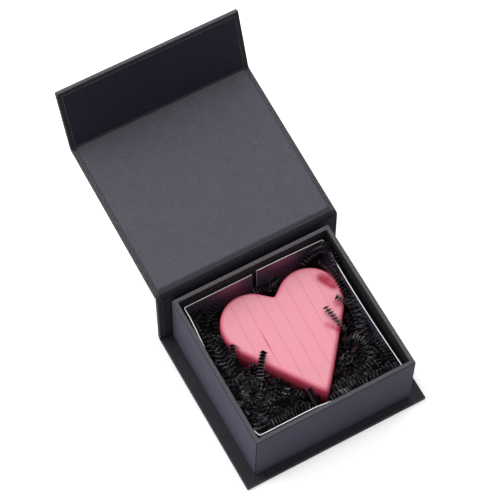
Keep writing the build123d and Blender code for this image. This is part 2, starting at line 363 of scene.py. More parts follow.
@dataclass(frozen=True)
class CoatedBoardFinish(SurfaceFinish):
    """Board coated glossy black over a white core that shows where it is cut.

    Attributes:
        coat: Color of the coat, a grey-lilac lifted above black as painted reflection.
        core: Color of the core.
        roughness: Roughness of the coat.
        index: Refractive index of the coat.
    """

    name: str = "black_coated_board"
    # Lighter than the black coat really is, as painted reflection.
    coat: Color = (0.105, 0.092, 0.150)
    core: Color = (0.92, 0.91, 0.91)
    roughness: float = 0.17
    index: float = 1.70

    def paint(self, graph: Graph) -> None:
        """Show the core where the board is cut, and ripple the coat.

        Args:
            graph: The graph of a new material.
        """
        at = graph.place()
        cut = graph.attribute("core").ramp(0.45, 0.55)
        fuzz = graph.noise(at, 0.9 * MM, 2.0)
        ripple = graph.noise(at, 7.0 * MM, 1.0)
        graph.surface(
            {
                "Base Color": graph.mix(cut * (0.82 + fuzz * 0.3), self.coat, self.core),
                "Roughness": self.roughness + cut * 0.5 + (fuzz - 0.5) * 0.08,
                "IOR": self.index,
                "Specular IOR Level": 1.0,
                "Normal": graph.bump(ripple + fuzz * 0.04, 0.4 * MM),
            }
        )


@dataclass(frozen=True)
class CrinkleFinish(SurfaceFinish):
    """Black shredded paper with a low sheen, and a painted highlight along its creases.

    Attributes:
        color: Color of its dark patches.
        sheen: Color of its light patches.
        crease_highlight: Color of the painted highlight along its creases.
        roughness: Mean roughness.
        gloss: Strength of the surface reflection.
    """

    name: str = "black_crinkle_paper"
    color: Color = (0.0040, 0.0034, 0.0044)
    sheen: Color = (0.0090, 0.0078, 0.0100)
    crease_highlight: Color = (0.470, 0.440, 0.500)
    roughness: float = 0.34
    gloss: float = 0.6

    def paint(self, graph: Graph) -> None:
        """Lay patches over the paper, and a painted highlight along the creases of the strips that have one.

        Args:
            graph: The graph of a new material.
        """
        at = graph.place()
        patch = graph.noise(at, 4.0 * MM, 1.0)
        fibre = graph.noise(at, 0.35 * MM, 2.0)
        body = graph.mix((patch * 0.7 + fibre * 0.3).ramp(0.35, 0.75), self.color, self.sheen)
        # Painted highlight: a pale line at each crease, as strong as the strip's pale mark.
        crease = graph.attribute("ridge").ramp(0.50, 1.0) * patch.ramp(0.35, 0.65, 0.20, 1.0)
        body = graph.mix(crease * graph.attribute("pale"), body, self.crease_highlight)
        graph.surface(
            {
                "Base Color": body,
                "Roughness": self.roughness + (fibre - 0.5) * 0.25,
                "Specular IOR Level": self.gloss,
                "Normal": graph.bump(fibre, 0.05 * MM),
            }
        )


@dataclass(frozen=True)
class HeartFinish(SurfaceFinish):
    """Soft pink moulded bar, with painted shade and a painted glow on its sides, and painted shade and
    shadow in its lines and where it is pressed.

    Attributes:
        top: Color of the top.
        side: Color of the sides and the rounded top edge, a deeper rose that paints their shade and the
            light that comes through them.
        line: Color of the painted shade in the scored lines.
        pressed: Color of the painted shadow in the dents and under the strips, and of the painted shade in
            one stretch of a line.
        foot: Color of the painted shade low on the sides.
        glow: Strength of the painted glow of the sides, an emission that stands for the light that comes
            through them.
        roughness: Mean roughness.
    """

    name: str = "pink_bar"
    top: Color = (0.985, 0.376, 0.458)
    side: Color = (0.86, 0.095, 0.180)
    line: Color = (0.74, 0.165, 0.230)
    pressed: Color = (0.60, 0.040, 0.105)
    foot: Color = (0.20, 0.012, 0.030)
    glow: float = 0.14
    roughness: float = 0.46

    def paint(self, graph: Graph) -> None:
        """Lay soft clouds over the top, paint shade on the sides, in the lines and in the pressed places,
        and make the sides glow.

        Args:
            graph: The graph of a new material.
        """
        at = graph.place()
        cloud = graph.noise(at, 14.0 * MM, 2.0)
        pores = graph.noise(at, 0.5 * MM, 2.0)
        side = graph.attribute("side")
        low = graph.attribute("low")
        # Painted shade and through-light: the sides and the rounded top edge take the deeper rose.
        body = graph.mix(side, self.top, self.side)
        body = graph.mix((cloud - 0.35).math("MAXIMUM", 0.0) * 0.12, body, self.side)
        # Painted shade in the scored lines, over their shallow real grooves.
        body = graph.mix(graph.attribute("groove") * 0.55, body, self.line)
        # Painted shadow of the strips, in the dents and beside them.
        body = graph.mix(graph.attribute("pressed"), body, self.pressed)
        # Painted shade: the sides darken towards their foot, and so does their glow.
        body = graph.mix(low, body, self.foot)
        graph.surface(
            {
                "Base Color": body,
                "Roughness": self.roughness + (cloud - 0.5) * 0.15,
                "Specular IOR Level": 0.35,
                "Subsurface Weight": 0.45,
                "Subsurface Radius": (1.0, 0.50, 0.55),
                "Subsurface Scale": 4.0 * MM,
                # Painted glow: the sides emit their rose, less towards the foot.
                "Emission Color": graph.mix(side * (1.0 - low), BLACK, self.side),
                "Emission Strength": self.glow,
                "Normal": graph.bump(pores, 0.03 * MM),
            }
        )


@dataclass(frozen=True)
class GreyboardFinish(SurfaceFinish):
    """Recycled board: grey-brown with darker flecks.

    Attributes:
        color: Mean color.
        fleck: Color of the flecks.
    """

    color: Color = (0.30, 0.27, 0.235)
    fleck: Color = (0.13, 0.115, 0.10)

    def paint(self, graph: Graph) -> None:
        """Scatter flecks over the board.

        Args:
            graph: The graph of a new material.
        """
        pulp = graph.noise(graph.place(), 0.8 * MM, 4.0, 0.7)
        body = graph.mix(pulp.ramp(0.35, 0.75), self.color, self.fleck)
        graph.surface({"Base Color": body, "Roughness": 0.85, "Normal": graph.bump(pulp, 0.1 * MM)})


@dataclass(frozen=True)
class DiscFinish(SurfaceFinish):
    """Metal of the hidden closure discs, with fine turning marks.

    Attributes:
        color: Color of the metal.
        roughness: Mean roughness.
    """

    color: Color
    roughness: float

    def paint(self, graph: Graph) -> None:
        """Mark the metal finely."""
        marks = graph.noise(graph.place(), 0.4 * MM, 3.0)
        graph.surface(
            {
                "Base Color": (*self.color, 1.0),
                "Metallic": 1.0,
                "Roughness": self.roughness + (marks - 0.5) * 0.2,
                "Normal": graph.bump(marks, 0.02 * MM),
            }
        )


class Finish(Enum):
    """The finishes of the object's pieces."""

    TRAY_PAPER = PaperFinish(
        "tray_paper",
        (0.112, 0.105, 0.154),
        cloud=0.10,
        mottle=0.22,
        edge=(0.098, 0.094, 0.099),
        edge_share=0.85,
    )
    CASE_PAPER = PaperFinish("case_paper", (0.036, 0.034, 0.041), edge_share=0.20)
    # Its dark edge color paints a shadow line along the sheet's sides and the fold's sides.
    LINING_PAPER = PaperFinish(
        "charcoal_lining", (0.104, 0.098, 0.120), edge=(0.02, 0.02, 0.024), edge_share=0.7
    )
    # Darker copies of the lining paper, as painted shade on the flap's and the spine's inner faces.
    FLAP_SHADED_LINING = PaperFinish("flap_lining_shaded", (0.025, 0.0235, 0.038), mottle=0.5, edge_share=0.4)
    SPINE_SHADED_LINING = PaperFinish("spine_lining_shaded", (0.029, 0.028, 0.037), mottle=0.7)
    COATED_BOARD = CoatedBoardFinish()
    CRINKLE = CrinkleFinish()
    SHRED_MASS = CrinkleFinish("black_shred_mass", roughness=0.8, gloss=0.1)
    HEART = HeartFinish()
    GREYBOARD = GreyboardFinish("grey_pulp_board")
    STAY_PAPER = GreyboardFinish("brown_stay_paper", (0.40, 0.30, 0.19), (0.30, 0.21, 0.12))
    MAGNET = DiscFinish("bright_plating", (0.70, 0.69, 0.67), 0.18)
    STRIKE = DiscFinish("dull_steel", (0.55, 0.55, 0.55), 0.40)

    @cache
    def material(self) -> bpy.types.Material:
        """The finish's material, made the first time that it is asked for."""
        return self.value.material()


# Meshes from arrays


@dataclass
class Shell:
    """A surface given as a grid of points.

    Attributes:
        points: Rows by columns by three, in metres.
        closed_rows: Whether the last row joins the first.
        closed_columns: Whether the last column joins the first.
        capped: Whether the first and last rows are closed with a face each.
        attributes: Numbers at the points, by name, each rows by columns.
    """

    points: Array
    closed_rows: bool = False
    closed_columns: bool = False
    capped: bool = False
    attributes: dict[str, Array] = field(default_factory=dict)

    def faces(self) -> list[Array]:
        """Faces of the grid, as numbers of its points.

        Returns:
            The quads as one array, and each cap as a loop of its own.
        """
        rows, columns = self.points.shape[:2]
        number = np.arange(rows * columns).reshape(rows, columns)
        if self.closed_rows:
            number = np.concatenate([number, number[:1]], axis=0)
        if self.closed_columns:
            number = np.concatenate([number, number[:, :1]], axis=1)
        corners = (number[:-1, :-1], number[:-1, 1:], number[1:, 1:], number[1:, :-1])
        quads = np.stack(corners, axis=-1).reshape(-1, 4)
        caps = [number[0, :columns][::-1], number[-1, :columns]] if self.capped else []
        return [quads, *caps]


def make_piece(name: str, shells: Sequence[Shell], finish: Finish, sharp: float = 40.0) -> bpy.types.Object:
    """Join shells into one object with outward normals and smooth shading.

    Args:
        name: Object name.
        shells: The surfaces.
        finish: What it is made of.
        sharp: Angle in degrees above which an edge stays sharp.

    Returns:
        The object, at the origin.
    """
    points = np.concatenate([shell.points.reshape(-1, 3) for shell in shells])
    starts = np.cumsum([0] + [shell.points[..., 0].size for shell in shells])
    loops = [loop + start for shell, start in zip(shells, starts) for loop in shell.faces()]
    sizes = np.concatenate([np.full(len(loop), 4) if loop.ndim == 2 else [len(loop)] for loop in loops])
    corners = np.concatenate([loop.ravel() for loop in loops])
    mesh = bpy.data.meshes.new(name)
    mesh.vertices.add(len(points))
    mesh.vertices.foreach_set("co", points.astype(np.float32).ravel())
    mesh.loops.add(len(corners))
    mesh.loops.foreach_set("vertex_index", corners.astype(np.int32))
    mesh.polygons.add(len(sizes))
    first = np.concatenate([[0], np.cumsum(sizes)[:-1]])
    mesh.polygons.foreach_set("loop_start", first.astype(np.int32))
    mesh.update(calc_edges=True)
    mesh.validate()
    for key in sorted({key for shell in shells for key in shell.attributes}):
        values = [shell.attributes.get(key, np.zeros(shell.points.shape[:2])).ravel() for shell in shells]
        layer = mesh.attributes.new(key, "FLOAT", "POINT")
        layer.data.foreach_set("value", np.concatenate(values).astype(np.float32))
    work = bmesh.new()
    work.from_mesh(mesh)
    bmesh.ops.recalc_face_normals(work, faces=work.faces)
    work.to_mesh(mesh)
    work.free()
    mesh.polygons.foreach_set("use_smooth", np.ones(len(mesh.polygons), bool))
    mesh.set_sharp_from_angle(angle=math.radians(sharp))
    piece = bpy.data.objects.new(name, mesh)
    bpy.context.scene.collection.objects.link(piece)
    mesh.materials.append(finish.material())
    log.info("%s: %d points", name, len(points))
    return piece


def limit(numbers: Array) -> Array:
    """Numbers held between 0 and 1."""
    return np.clip(numbers, 0.0, 1.0)


def bell(distance: Array, size: Any) -> Array:
    """A bell curve: exp(-(distance / size)^2)."""
    return np.exp(-((distance / size) ** 2))


def raised(plan: Array, level: Any) -> Array:
    """Points from their X and Y and their heights."""
    heights = np.broadcast_to(level, plan.shape[:-1])[..., None]
    return np.concatenate([plan, heights], axis=-1)


def unit(vectors: Array) -> Array:
    """Vectors, along the last axis, scaled to length one."""
    return vectors / np.maximum(np.linalg.norm(vectors, axis=-1, keepdims=True), 1e-9)


def stations(half: float, radius: float, steps: int = 5, inner: int = 9) -> tuple[Array, Array]:
    """Places across a board whose two side edges are rounded.

    The inset at distance e from the side is radius - sqrt(radius^2 - (radius - e)^2), and zero past the
    radius.

    Args:
        half: Half the width.
        radius: Radius of the edge.
        steps: Places on each round.
        inner: Places on the flat.

    Returns:
        The places, and the inset of the faces at each.
    """
    turn = np.linspace(0.0, 0.5 * np.pi, steps)
    side = radius * (1.0 - np.sin(turn))
    inset = radius * (1.0 - np.cos(turn))
    flat = np.linspace(0.0, 1.0, inner)
    margin = radius * PAST_ROUND
    left = -half + side[::-1]
    middle = -half + margin + flat * 2.0 * (half - margin)
    places = np.concatenate([left, middle, -left[::-1]])
    return places, np.concatenate([inset[::-1], 0.0 * flat, inset])


def across(places: Array, insets: Array, loop: Array, pull: Array, edge: Array) -> Shell:
    """Carry a closed loop in the YZ plane across X, pulled in where the side edges are rounded.

    Each point is loop + inset * pull, at that place's X.

    Args:
        places: X of each row.
        insets: How far the faces are pulled in at each row.
        loop: Points of the loop, as Y and Z.
        pull: Direction in which each point is pulled in.
        edge: How much of an edge each point of the loop is, from 0 to 1.

    Returns:
        The shell, with its ends closed and an edge attribute.
    """
    section = loop[None] + insets[:, None, None] * pull[None]
    depth = np.broadcast_to(places[:, None, None], (*section.shape[:2], 1))
    worn = np.maximum((insets > 0)[:, None] * (np.linalg.norm(pull, axis=1) > 0.5)[None], edge[None])
    points = np.concatenate([depth, section], axis=2)
    return Shell(points, closed_columns=True, capped=True, attributes={"edge": worn.astype(float)})


# Cover


@dataclass
class Panel:
    """A cover panel seen from the side: along it from a fold's axis, and inwards from that axis.

    Attributes:
        origin: The axis of the fold before it, or its free front end, as Y and Z.
        angle: Its direction, in degrees up from +Y.
        first: Where its board starts.
        last: Where its board ends.
    """

    origin: Array
    angle: float
    first: float
    last: float

    @property
    def along(self) -> Array:
        """Unit vector along the panel."""
        return np.array([math.cos(math.radians(self.angle)), math.sin(math.radians(self.angle))])

    @property
    def inward(self) -> Array:
        """Unit vector from the outer face inwards."""
        return np.array([-self.along[1], self.along[0]])

    def at(self, along: Any, inward: Any) -> Array:
        """Points at distances along the panel and inwards from the fold's axis."""
        return self.origin + np.multiply.outer(along, self.along) + np.multiply.outer(inward, self.inward)


@dataclass
class Fold:
    """A paper fold between two panels, which turn about its axis.

    Attributes:
        name: The joint's name.
        before: The panel before it.
        after: The panel after it.
        axis: Its axis, as Y and Z.
        bodies: The bodies of the two panels.
    """

    name: str
    before: Panel
    after: Panel
    axis: Array
    bodies: tuple[str, str]


@dataclass
class Cover:
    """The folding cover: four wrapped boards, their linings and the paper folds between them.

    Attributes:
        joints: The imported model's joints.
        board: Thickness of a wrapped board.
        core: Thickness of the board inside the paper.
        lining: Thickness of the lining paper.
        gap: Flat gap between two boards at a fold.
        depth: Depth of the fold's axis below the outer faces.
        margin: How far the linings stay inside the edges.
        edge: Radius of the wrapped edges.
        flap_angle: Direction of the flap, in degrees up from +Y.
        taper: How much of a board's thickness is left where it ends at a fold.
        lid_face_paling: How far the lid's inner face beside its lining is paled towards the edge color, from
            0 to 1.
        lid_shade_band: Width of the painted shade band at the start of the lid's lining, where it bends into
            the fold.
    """

    joints: list[dict]
    board: float = 2.30 * MM
    core: float = 2.00 * MM
    lining: float = 0.12 * MM
    gap: float = 3.54 * MM
    depth: float = 1.40 * MM
    margin: float = 2.40 * MM
    edge: float = 0.42 * MM
    flap_angle: float = 72.41
    taper: float = 0.06
    lid_face_paling: float = 0.78
    lid_shade_band: float = 2.3 * MM

    def __post_init__(self) -> None:
        """Work out the panels from the folds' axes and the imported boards."""
        low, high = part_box("base_cover")
        self.half = float(high[0])
        base, lid, flap = (np.array(self._axis(name)) for name in ("base_fold", "lid_fold", "flap_fold"))
        reach = self.gap / 2
        front = float(low[1])
        free = self._reach_of_flap(flap)
        self.base = Panel(np.array([front, base[1]]), 0.0, 0.0, float(base[0]) - front - reach)
        self.spine = Panel(base, self._angle(lid - base), reach, float(np.linalg.norm(lid - base)) - reach)
        self.lid = Panel(lid, self._angle(flap - lid), reach, float(np.linalg.norm(flap - lid)) - reach)
        self.flap = Panel(flap, self.flap_angle, reach, free)
        self.folds = [
            Fold("base_fold", self.base, self.spine, base, ("box", "spine")),
            Fold("lid_fold", self.spine, self.lid, lid, ("spine", "lid")),
            Fold("flap_fold", self.lid, self.flap, flap, ("lid", "flap")),
        ]

    def _axis(self, name: str) -> Sequence[float]:
        """Y and Z of a fold's axis."""
        return next(joint for joint in self.joints if joint["name"] == name)["pos_m"][1:]

    @staticmethod
    def _angle(direction: Array) -> float:
        """Angle of a direction in degrees up from +Y."""
        return math.degrees(math.atan2(direction[1], direction[0]))

    def _reach_of_flap(self, axis: Array) -> float:
        """Find the flap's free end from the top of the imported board.

        Args:
            axis: The axis of the flap's fold, as Y and Z.

        Returns:
            How far the end lies along the flap from that axis.
        """
        turn = math.radians(self.flap_angle)
        top = float(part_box("flap_board")[1][2]) - axis[1]
        paper = (self.board - self.core) / 2
        return (top - (self.board - paper - self.depth) * math.cos(turn)) / math.sin(turn) + paper

    def build(self) -> None:
        """Make the panels, the linings and the folds."""
        self._panel("base", self.base, "box", free_start=True)
        self._panel("spine", self.spine, "spine")
        self._panel("lid", self.lid, "lid", inside=self.lid_face_paling)
        self._panel("flap", self.flap, "flap", free_end=True)
        self._lining("spine", self.spine, Finish.SPINE_SHADED_LINING)
        self._lining("lid", self.lid, Finish.LINING_PAPER, start_shade_band=self.lid_shade_band)
        self._lining("flap", self.flap, Finish.FLAP_SHADED_LINING, end_margin=self.margin)
        for fold in self.folds:
            self._fold(fold)

    def _panel(
        self,
        name: str,
        panel: Panel,
        body: str,
        free_start: bool = False,
        free_end: bool = False,
        inside: float = 0.0,
    ) -> None:
        """Make a wrapped board from its section, which is the board's rectangle with its two ends.

        Args:
            name: The panel's name.
            panel: Its place.
            body: The body it moves with.
            free_start: Whether its start is a wrapped free edge.
            free_end: Whether its end is one.
            inside: How far its inner face is paled towards the edge color, from 0 to 1.
        """
        start = self._panel_end(panel.first, 1.0, free_start)
        end = self._panel_end(panel.last, -1.0, free_end)
        loop, pull, worn = (np.concatenate([a[::-1], b]) for a, b in zip(start, end))
        worn = np.maximum(worn, inside * (loop[:, 1] > self.board - self.depth - 1e-9))
        world = panel.at(loop[:, 0], loop[:, 1])
        drag = pull[:, :1] * panel.along + pull[:, 1:] * panel.inward
        shell = across(*stations(self.half, self.edge), world, drag, worn)
        piece = make_piece(f"{name}_wrap", [shell], Finish.CASE_PAPER)
        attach(piece, body)
        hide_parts(f"{name}_cover")

    def _panel_end(self, place: float, sign: float, free: bool) -> tuple[Array, Array, Array]:
        """One end of a panel's section, from its outer face to its inner one.

        A free end has two quarter rounds. An end at a fold tapers to the fold's axis, so that the fold is
        closed when seen from the side.

        Args:
            place: Where the board ends, along the panel.
            sign: 1 at the panel's start and -1 at its end.
            free: Whether the end is a wrapped free edge.

        Returns:
            The points as distances along and inwards, the direction in which each is pulled in at the
            panel's sides, and how worn each is.
        """
        outer, inner = -self.depth, self.board - self.depth
        if not free:
            tip = place - sign * self.gap / 2 * (1 - self.taper)
            tips = [[tip, outer * self.taper], [tip, inner * self.taper]]
            points = np.array([[place, outer], *tips, [place, inner]])
            pull = np.array([[0.0, 1.0], [0.0, 0.0], [0.0, 0.0], [0.0, -1.0]])
            return points, pull, np.zeros(len(points))
        turn = np.linspace(0.0, 0.5 * np.pi, 5)
        round_in, round_out = self.edge * (1 - np.sin(turn)), self.edge * (1 - np.cos(turn))
        low = np.stack([place + sign * round_in, outer + round_out], axis=1)
        high = np.stack([place + sign * round_in[::-1], inner - round_out[::-1]], axis=1)
        flat = place + sign * PAST_ROUND * self.edge
        points = np.concatenate([[[flat, outer]], low, high, [[flat, inner]]])
        pull = np.where(points[:, 1:] < 0.5 * (outer + inner), [[0.0, 1.0]], [[0.0, -1.0]])
        pull = pull + np.array([[sign, 0.0]]) * (np.abs(points[:, :1] - place) < 0.7 * self.edge)
        worn = np.ones(len(points))
        worn[[0, -1]] = 0.0
        return points, pull, worn

    def _lining(
        self, name: str, panel: Panel, finish: Finish, end_margin: float = 0.0, start_shade_band: float = 0.0
    ) -> None:
        """Make the inner sheet of a panel: a thin slab with a fine bevel, inside the panel's edges.

        Args:
            name: The panel's name.
            panel: Its place.
            finish: What it is made of.
            end_margin: How far the sheet stays from the panel's end.
            start_shade_band: Width of the painted shade band at its start.
        """
        low, high = self.board - self.depth - 0.02 * MM, self.board + self.lining - self.depth
        last = panel.last - end_margin
        bevel = 0.08 * MM
        strip = 0.30 * MM
        band = panel.first + (start_shade_band or 2.0 * MM) * np.array([0.2, 0.8, 1.3])
        rows = np.array([panel.first, panel.first, *band, last - strip, last - bevel, last, last])
        loop = np.array([low, *[high] * 6, high - bevel, low])
        edge = np.array([*[0.0] * 6, 0.7, 1.0, 1.0]) * (end_margin > 0)
        # Painted shade: a dark band where the lining bends into the fold.
        dark = np.array([0.5, 0.5, 0.7, 0.6, *[0.0] * 5]) * (start_shade_band > 0)
        world = panel.at(rows, loop)
        pull = np.array([[0.0], *[[-1.0]] * 6, [0.0], [0.0]]) * panel.inward
        half = self.half - self.margin
        side = np.array([-half, -half + bevel, -half + strip])
        flat = np.linspace(-half + 2 * strip, half - 2 * strip, 9)
        places = np.concatenate([side, flat, -side[::-1]])
        distance = half - np.abs(places)
        insets = np.where(distance < 0.5 * bevel, bevel, 0.0)
        shell = across(places, insets, world, pull, edge)
        # Side edges of the sheet: a pale cut edge on the flap and spine sheets, and a painted shadow line on
        # the lid's.
        cut_edge_and_shadow_line = np.where(distance < 2 * bevel, 1.0, 0.0)
        shell.attributes["edge"] = np.maximum(cut_edge_and_shadow_line[:, None], edge[None])
        shell.attributes["dark"] = np.broadcast_to(dark[None], shell.points.shape[:2])
        piece = make_piece(f"{name}_sheet", [shell], finish)
        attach(piece, name)
        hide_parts(f"{name}_lining")

    def _fold(self, fold: Fold) -> None:
        """Make a fold's outer paper and, at the two folds that have them, its inner paper and margin.

        Args:
            fold: The fold.
        """
        part = fold.name.removesuffix("_fold")
        name = f"{part}_hinge_cover_paper"
        curve = self._pleat(fold) if part == "lid" else self._bend(fold, -self.depth)
        piece = self._wedge(fold, name, curve, self.half, Finish.CASE_PAPER, sign=1.0)
        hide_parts(f"{part}_hinge_cover")
        if part == "base":
            return
        curve = self._bend(fold, self.board + self.lining - self.depth)
        share = np.linspace(0.0, 1.0, len(curve))
        # Painted shade in the creases: over most of the lid's fold, and in a line at the flap's foot.
        creases = {
            "lid": np.clip(0.55 + 2.0 * np.sin(np.pi * share), 0.0, 0.94),
            "flap": 0.9 * bell(share - 0.62, 0.22),
        }
        name = f"{part}_hinge_lining_paper"
        half = self.half - self.margin
        piece = self._wedge(fold, name, curve, half, Finish.LINING_PAPER, dark=creases[part])
        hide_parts(f"{part}_hinge_lining")
        curve = self._bend(fold, self.board - self.depth)
        piece = self._wedge(fold, f"{part}_hinge_margin", curve, self.half, Finish.CASE_PAPER, keep=0.05)

    def _bend(self, fold: Fold, depth: float, steps: int = 15) -> Array:
        """Paper that bends from one panel to the next: an arc that leaves both panels' faces in line.

        Args:
            fold: The fold.
            depth: Depth of the paper from the fold's axis, inwards.
            steps: Points on the arc.

        Returns:
            The points, as Y and Z.
        """
        turn = math.radians(fold.after.angle - fold.before.angle)
        tangent = self.gap / 2 - depth * math.tan(turn / 2)
        radius = tangent / math.tan(turn / 2)
        start = fold.before.at(fold.before.last, depth)
        center = start + radius * fold.before.inward
        angles = np.linspace(0.0, turn, steps)[:, None]
        spoke = -radius * fold.before.inward
        side = radius * fold.before.along
        return center + np.cos(angles) * spoke + np.sin(angles) * side

    def _pleat(self, fold: Fold, steps: int = 25) -> Array:
        """Outer paper of the lid's fold, tucked in while the lid is open.

        In polar form round the axis, the angle goes evenly from one panel's edge to the other's. The radius
        is what makes a rounded corner of the closed box: depth / cos(angle) along each face, and depth
        between them.

        Args:
            fold: The fold.
            steps: Points on the pleat.

        Returns:
            The points, as Y and Z.
        """
        before = fold.before.at(fold.before.last, -self.depth)
        after = fold.after.at(fold.after.first, -self.depth)
        first, last = (math.atan2(*(end - fold.axis)[::-1]) for end in (before, after))
        lean = math.atan2(self.gap / 2, self.depth)
        share = np.linspace(0.0, 1.0, steps)
        closed = share * (2 * lean + 0.5 * np.pi)
        off_face = np.maximum(np.maximum(lean - closed, closed - lean - 0.5 * np.pi), 0.0)
        radius = self.depth / np.cos(off_face)
        angle = first + share * (last - first)
        return fold.axis + radius[:, None] * np.stack([np.cos(angle), np.sin(angle)], axis=1)

    def _wedge(
        self,
        fold: Fold,
        name: str,
        curve: Array,
        half: float,
        finish: Finish,
        sign: float = -1.0,
        keep: float = 0.55,
        dark: Array | float = 0.0,
    ) -> bpy.types.Object:
        """Make a fold's paper as a wedge from its curve towards the axis, and let it turn with the fold.

        At the sides its ends are pulled in along the panels' inward directions, and its middle towards the
        axis. The share of the first is the square of the distance from the middle.

        Args:
            fold: The fold.
            name: Object name.
            curve: Points across the fold, as Y and Z.
            half: Half its width.
            finish: What it is made of.
            sign: 1 where the ends are pulled inwards, and -1 where outwards.
            keep: How much of the distance from the axis the wedge's back keeps.
            dark: How dark the painted shade in the crease is at each point.

        Returns:
            The object.
        """
        share = np.linspace(0.0, 1.0, len(curve))[:, None]
        middle = unit(fold.axis - curve)
        side = np.where(share < 0.5, fold.before.inward, fold.after.inward) * sign
        weight = np.abs(2 * share - 1) ** 2
        pull = unit(weight * side + (1 - weight) * middle)
        back = fold.axis + keep * (curve - fold.axis)
        loop = np.concatenate([curve, back[::-1]])
        drag = np.concatenate([pull, 0.0 * pull])
        shell = across(*stations(half, self.edge), loop, drag, np.zeros(len(loop)))
        crease = np.broadcast_to(dark, len(curve))
        tone = np.concatenate([crease, crease[::-1]])
        shell.attributes["dark"] = np.broadcast_to(tone, shell.points.shape[:2])
        piece = make_piece(name, [shell], finish)
        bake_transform(piece, *fold.bodies, start=(0.0, *curve[0]), end=(0.0, *curve[-1]))
        return piece


# Tray and collar


def rounded_rectangle(half_x: float, half_y: float, radius: float, steps: int = 6, side: int = 9) -> Array:
    """Points round a rectangle with rounded corners, from the middle of the back, turning left.

    Args:
        half_x: Half its width.
        half_y: Half its depth.
        radius: Radius of its corners.
        steps: Points on each corner.
        side: Points on each half side.

    Returns:
        The points, as X and Y.
    """
    turn = np.linspace(0.0, 0.5 * np.pi, steps)
    points = []
    corners = ((-1, 1, 0.5), (-1, -1, 1.0), (1, -1, 1.5), (1, 1, 0.0))
    for sign_x, sign_y, start in corners:
        center = np.array([sign_x * (half_x - radius), sign_y * (half_y - radius)])
        angle = start * np.pi + turn
        points.append(center + radius * np.stack([np.cos(angle), np.sin(angle)], axis=1))
    back = np.array([[0.0, half_y]])
    stops = [back, *points, back]
    path = [stops[0]]
    for before, after in zip(stops[:-1], stops[1:]):
        share = np.linspace(0.0, 1.0, side + 2)[1:-1, None]
        path += [before[-1] + share * (after[0] - before[-1]), after]
    return np.concatenate(path)


@dataclass
class Tray:
    """The tray's wrapped walls: one ring whose rim is rounded.

    Attributes:
        wall: Thickness of a wrapped wall.
        outer_round: Radius of the rim's outer edge.
        inner_round: Radius of the rim's inner edge.
        corner: Radius of the upright outer corners.
        inner_corner: Radius of the inner corners.
        seam: Half the width of the paper's seam at the front left corner.
    """

    wall: float = 2.40 * MM
    outer_round: float = 0.65 * MM
    inner_round: float = 0.50 * MM
    corner: float = 0.42 * MM
    inner_corner: float = 0.30 * MM
    seam: float = 0.45 * MM

    def build(self) -> None:
        """Make the ring by carrying the section round the tray.

        Each point is outer * (1 - share) + inner * share, where outer and inner are the outlines of the two
        faces and share is the section's inset as a part of the wall.
        """
        low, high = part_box("tray_cover")
        half_x, half_y = float(high[0]), float(high[1])
        outer = rounded_rectangle(half_x, half_y, self.corner)[:-1]
        inner = rounded_rectangle(half_x - self.wall, half_y - self.wall, self.inner_corner)[:-1]
        inset, height = self._section(float(low[2]), float(high[2]))
        share = (inset / self.wall)[None, :, None]
        plan = outer[:, None] * (1 - share) + inner[:, None] * share
        step = np.arange(len(height))
        worn = limit((step - 4) / 2)
        # Painted shade on the wall's inner face, from partway round the inner edge down.
        inside = np.where(step > 11, 0.86, 0.0)
        # Painted shade: a dark line on the rim's outer round, and a little at the wall's foot.
        line = np.where((step == 4) | (step == 5), 0.75, 0.0) + np.where(step < 2, 0.22, 0.0)
        from_left, from_front = outer[:, 0] + half_x, outer[:, 1] + half_y
        near = 0.95 * self.corner
        at_corner = (outer[:, 0] < near - half_x) & (outer[:, 1] < near - half_y)
        seam = bell(from_left - from_front, self.seam) * at_corner
        dark = np.maximum((inside + line)[None], seam[:, None] * (step < 4)[None])
        tones = {"edge": np.broadcast_to(worn[None], plan.shape[:2]), "dark": dark}
        shell = Shell(raised(plan, height), closed_rows=True, closed_columns=True, attributes=tones)
        piece = make_piece("tray_wrap", [shell], Finish.TRAY_PAPER)
        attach(piece, "box")
        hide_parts("tray_cover")

    def _section(self, bottom: float, rim: float) -> tuple[Array, Array]:
        """The wall's section.

        Steps 0 to 2 go up the outer face, 3 to 8 round its edge, 9 over the rim, 10 to 15 round the inner
        edge and 16 to 18 down the inner face.

        Args:
            bottom: Height of the wall's foot.
            rim: Height of its rim.

        Returns:
            The inset from the outer face and the height of each step.
        """
        turn = np.linspace(0.0, 0.5 * np.pi, 6)
        sine, cosine = 1 - np.sin(turn), 1 - np.cos(turn)
        outer, inner = self.outer_round, self.inner_round
        edges = [outer * cosine, [self.wall * 0.5], self.wall - inner * sine]
        inset = np.concatenate([[0.0] * 3, *edges, [self.wall] * 3])
        up = [bottom, bottom + 0.2 * MM, rim - PAST_ROUND * outer]
        down = [rim - PAST_ROUND * inner, bottom + 3.0 * MM, bottom]
        height = np.concatenate([up, rim - outer * sine, [rim], rim - inner * cosine, down])
        return inset, height


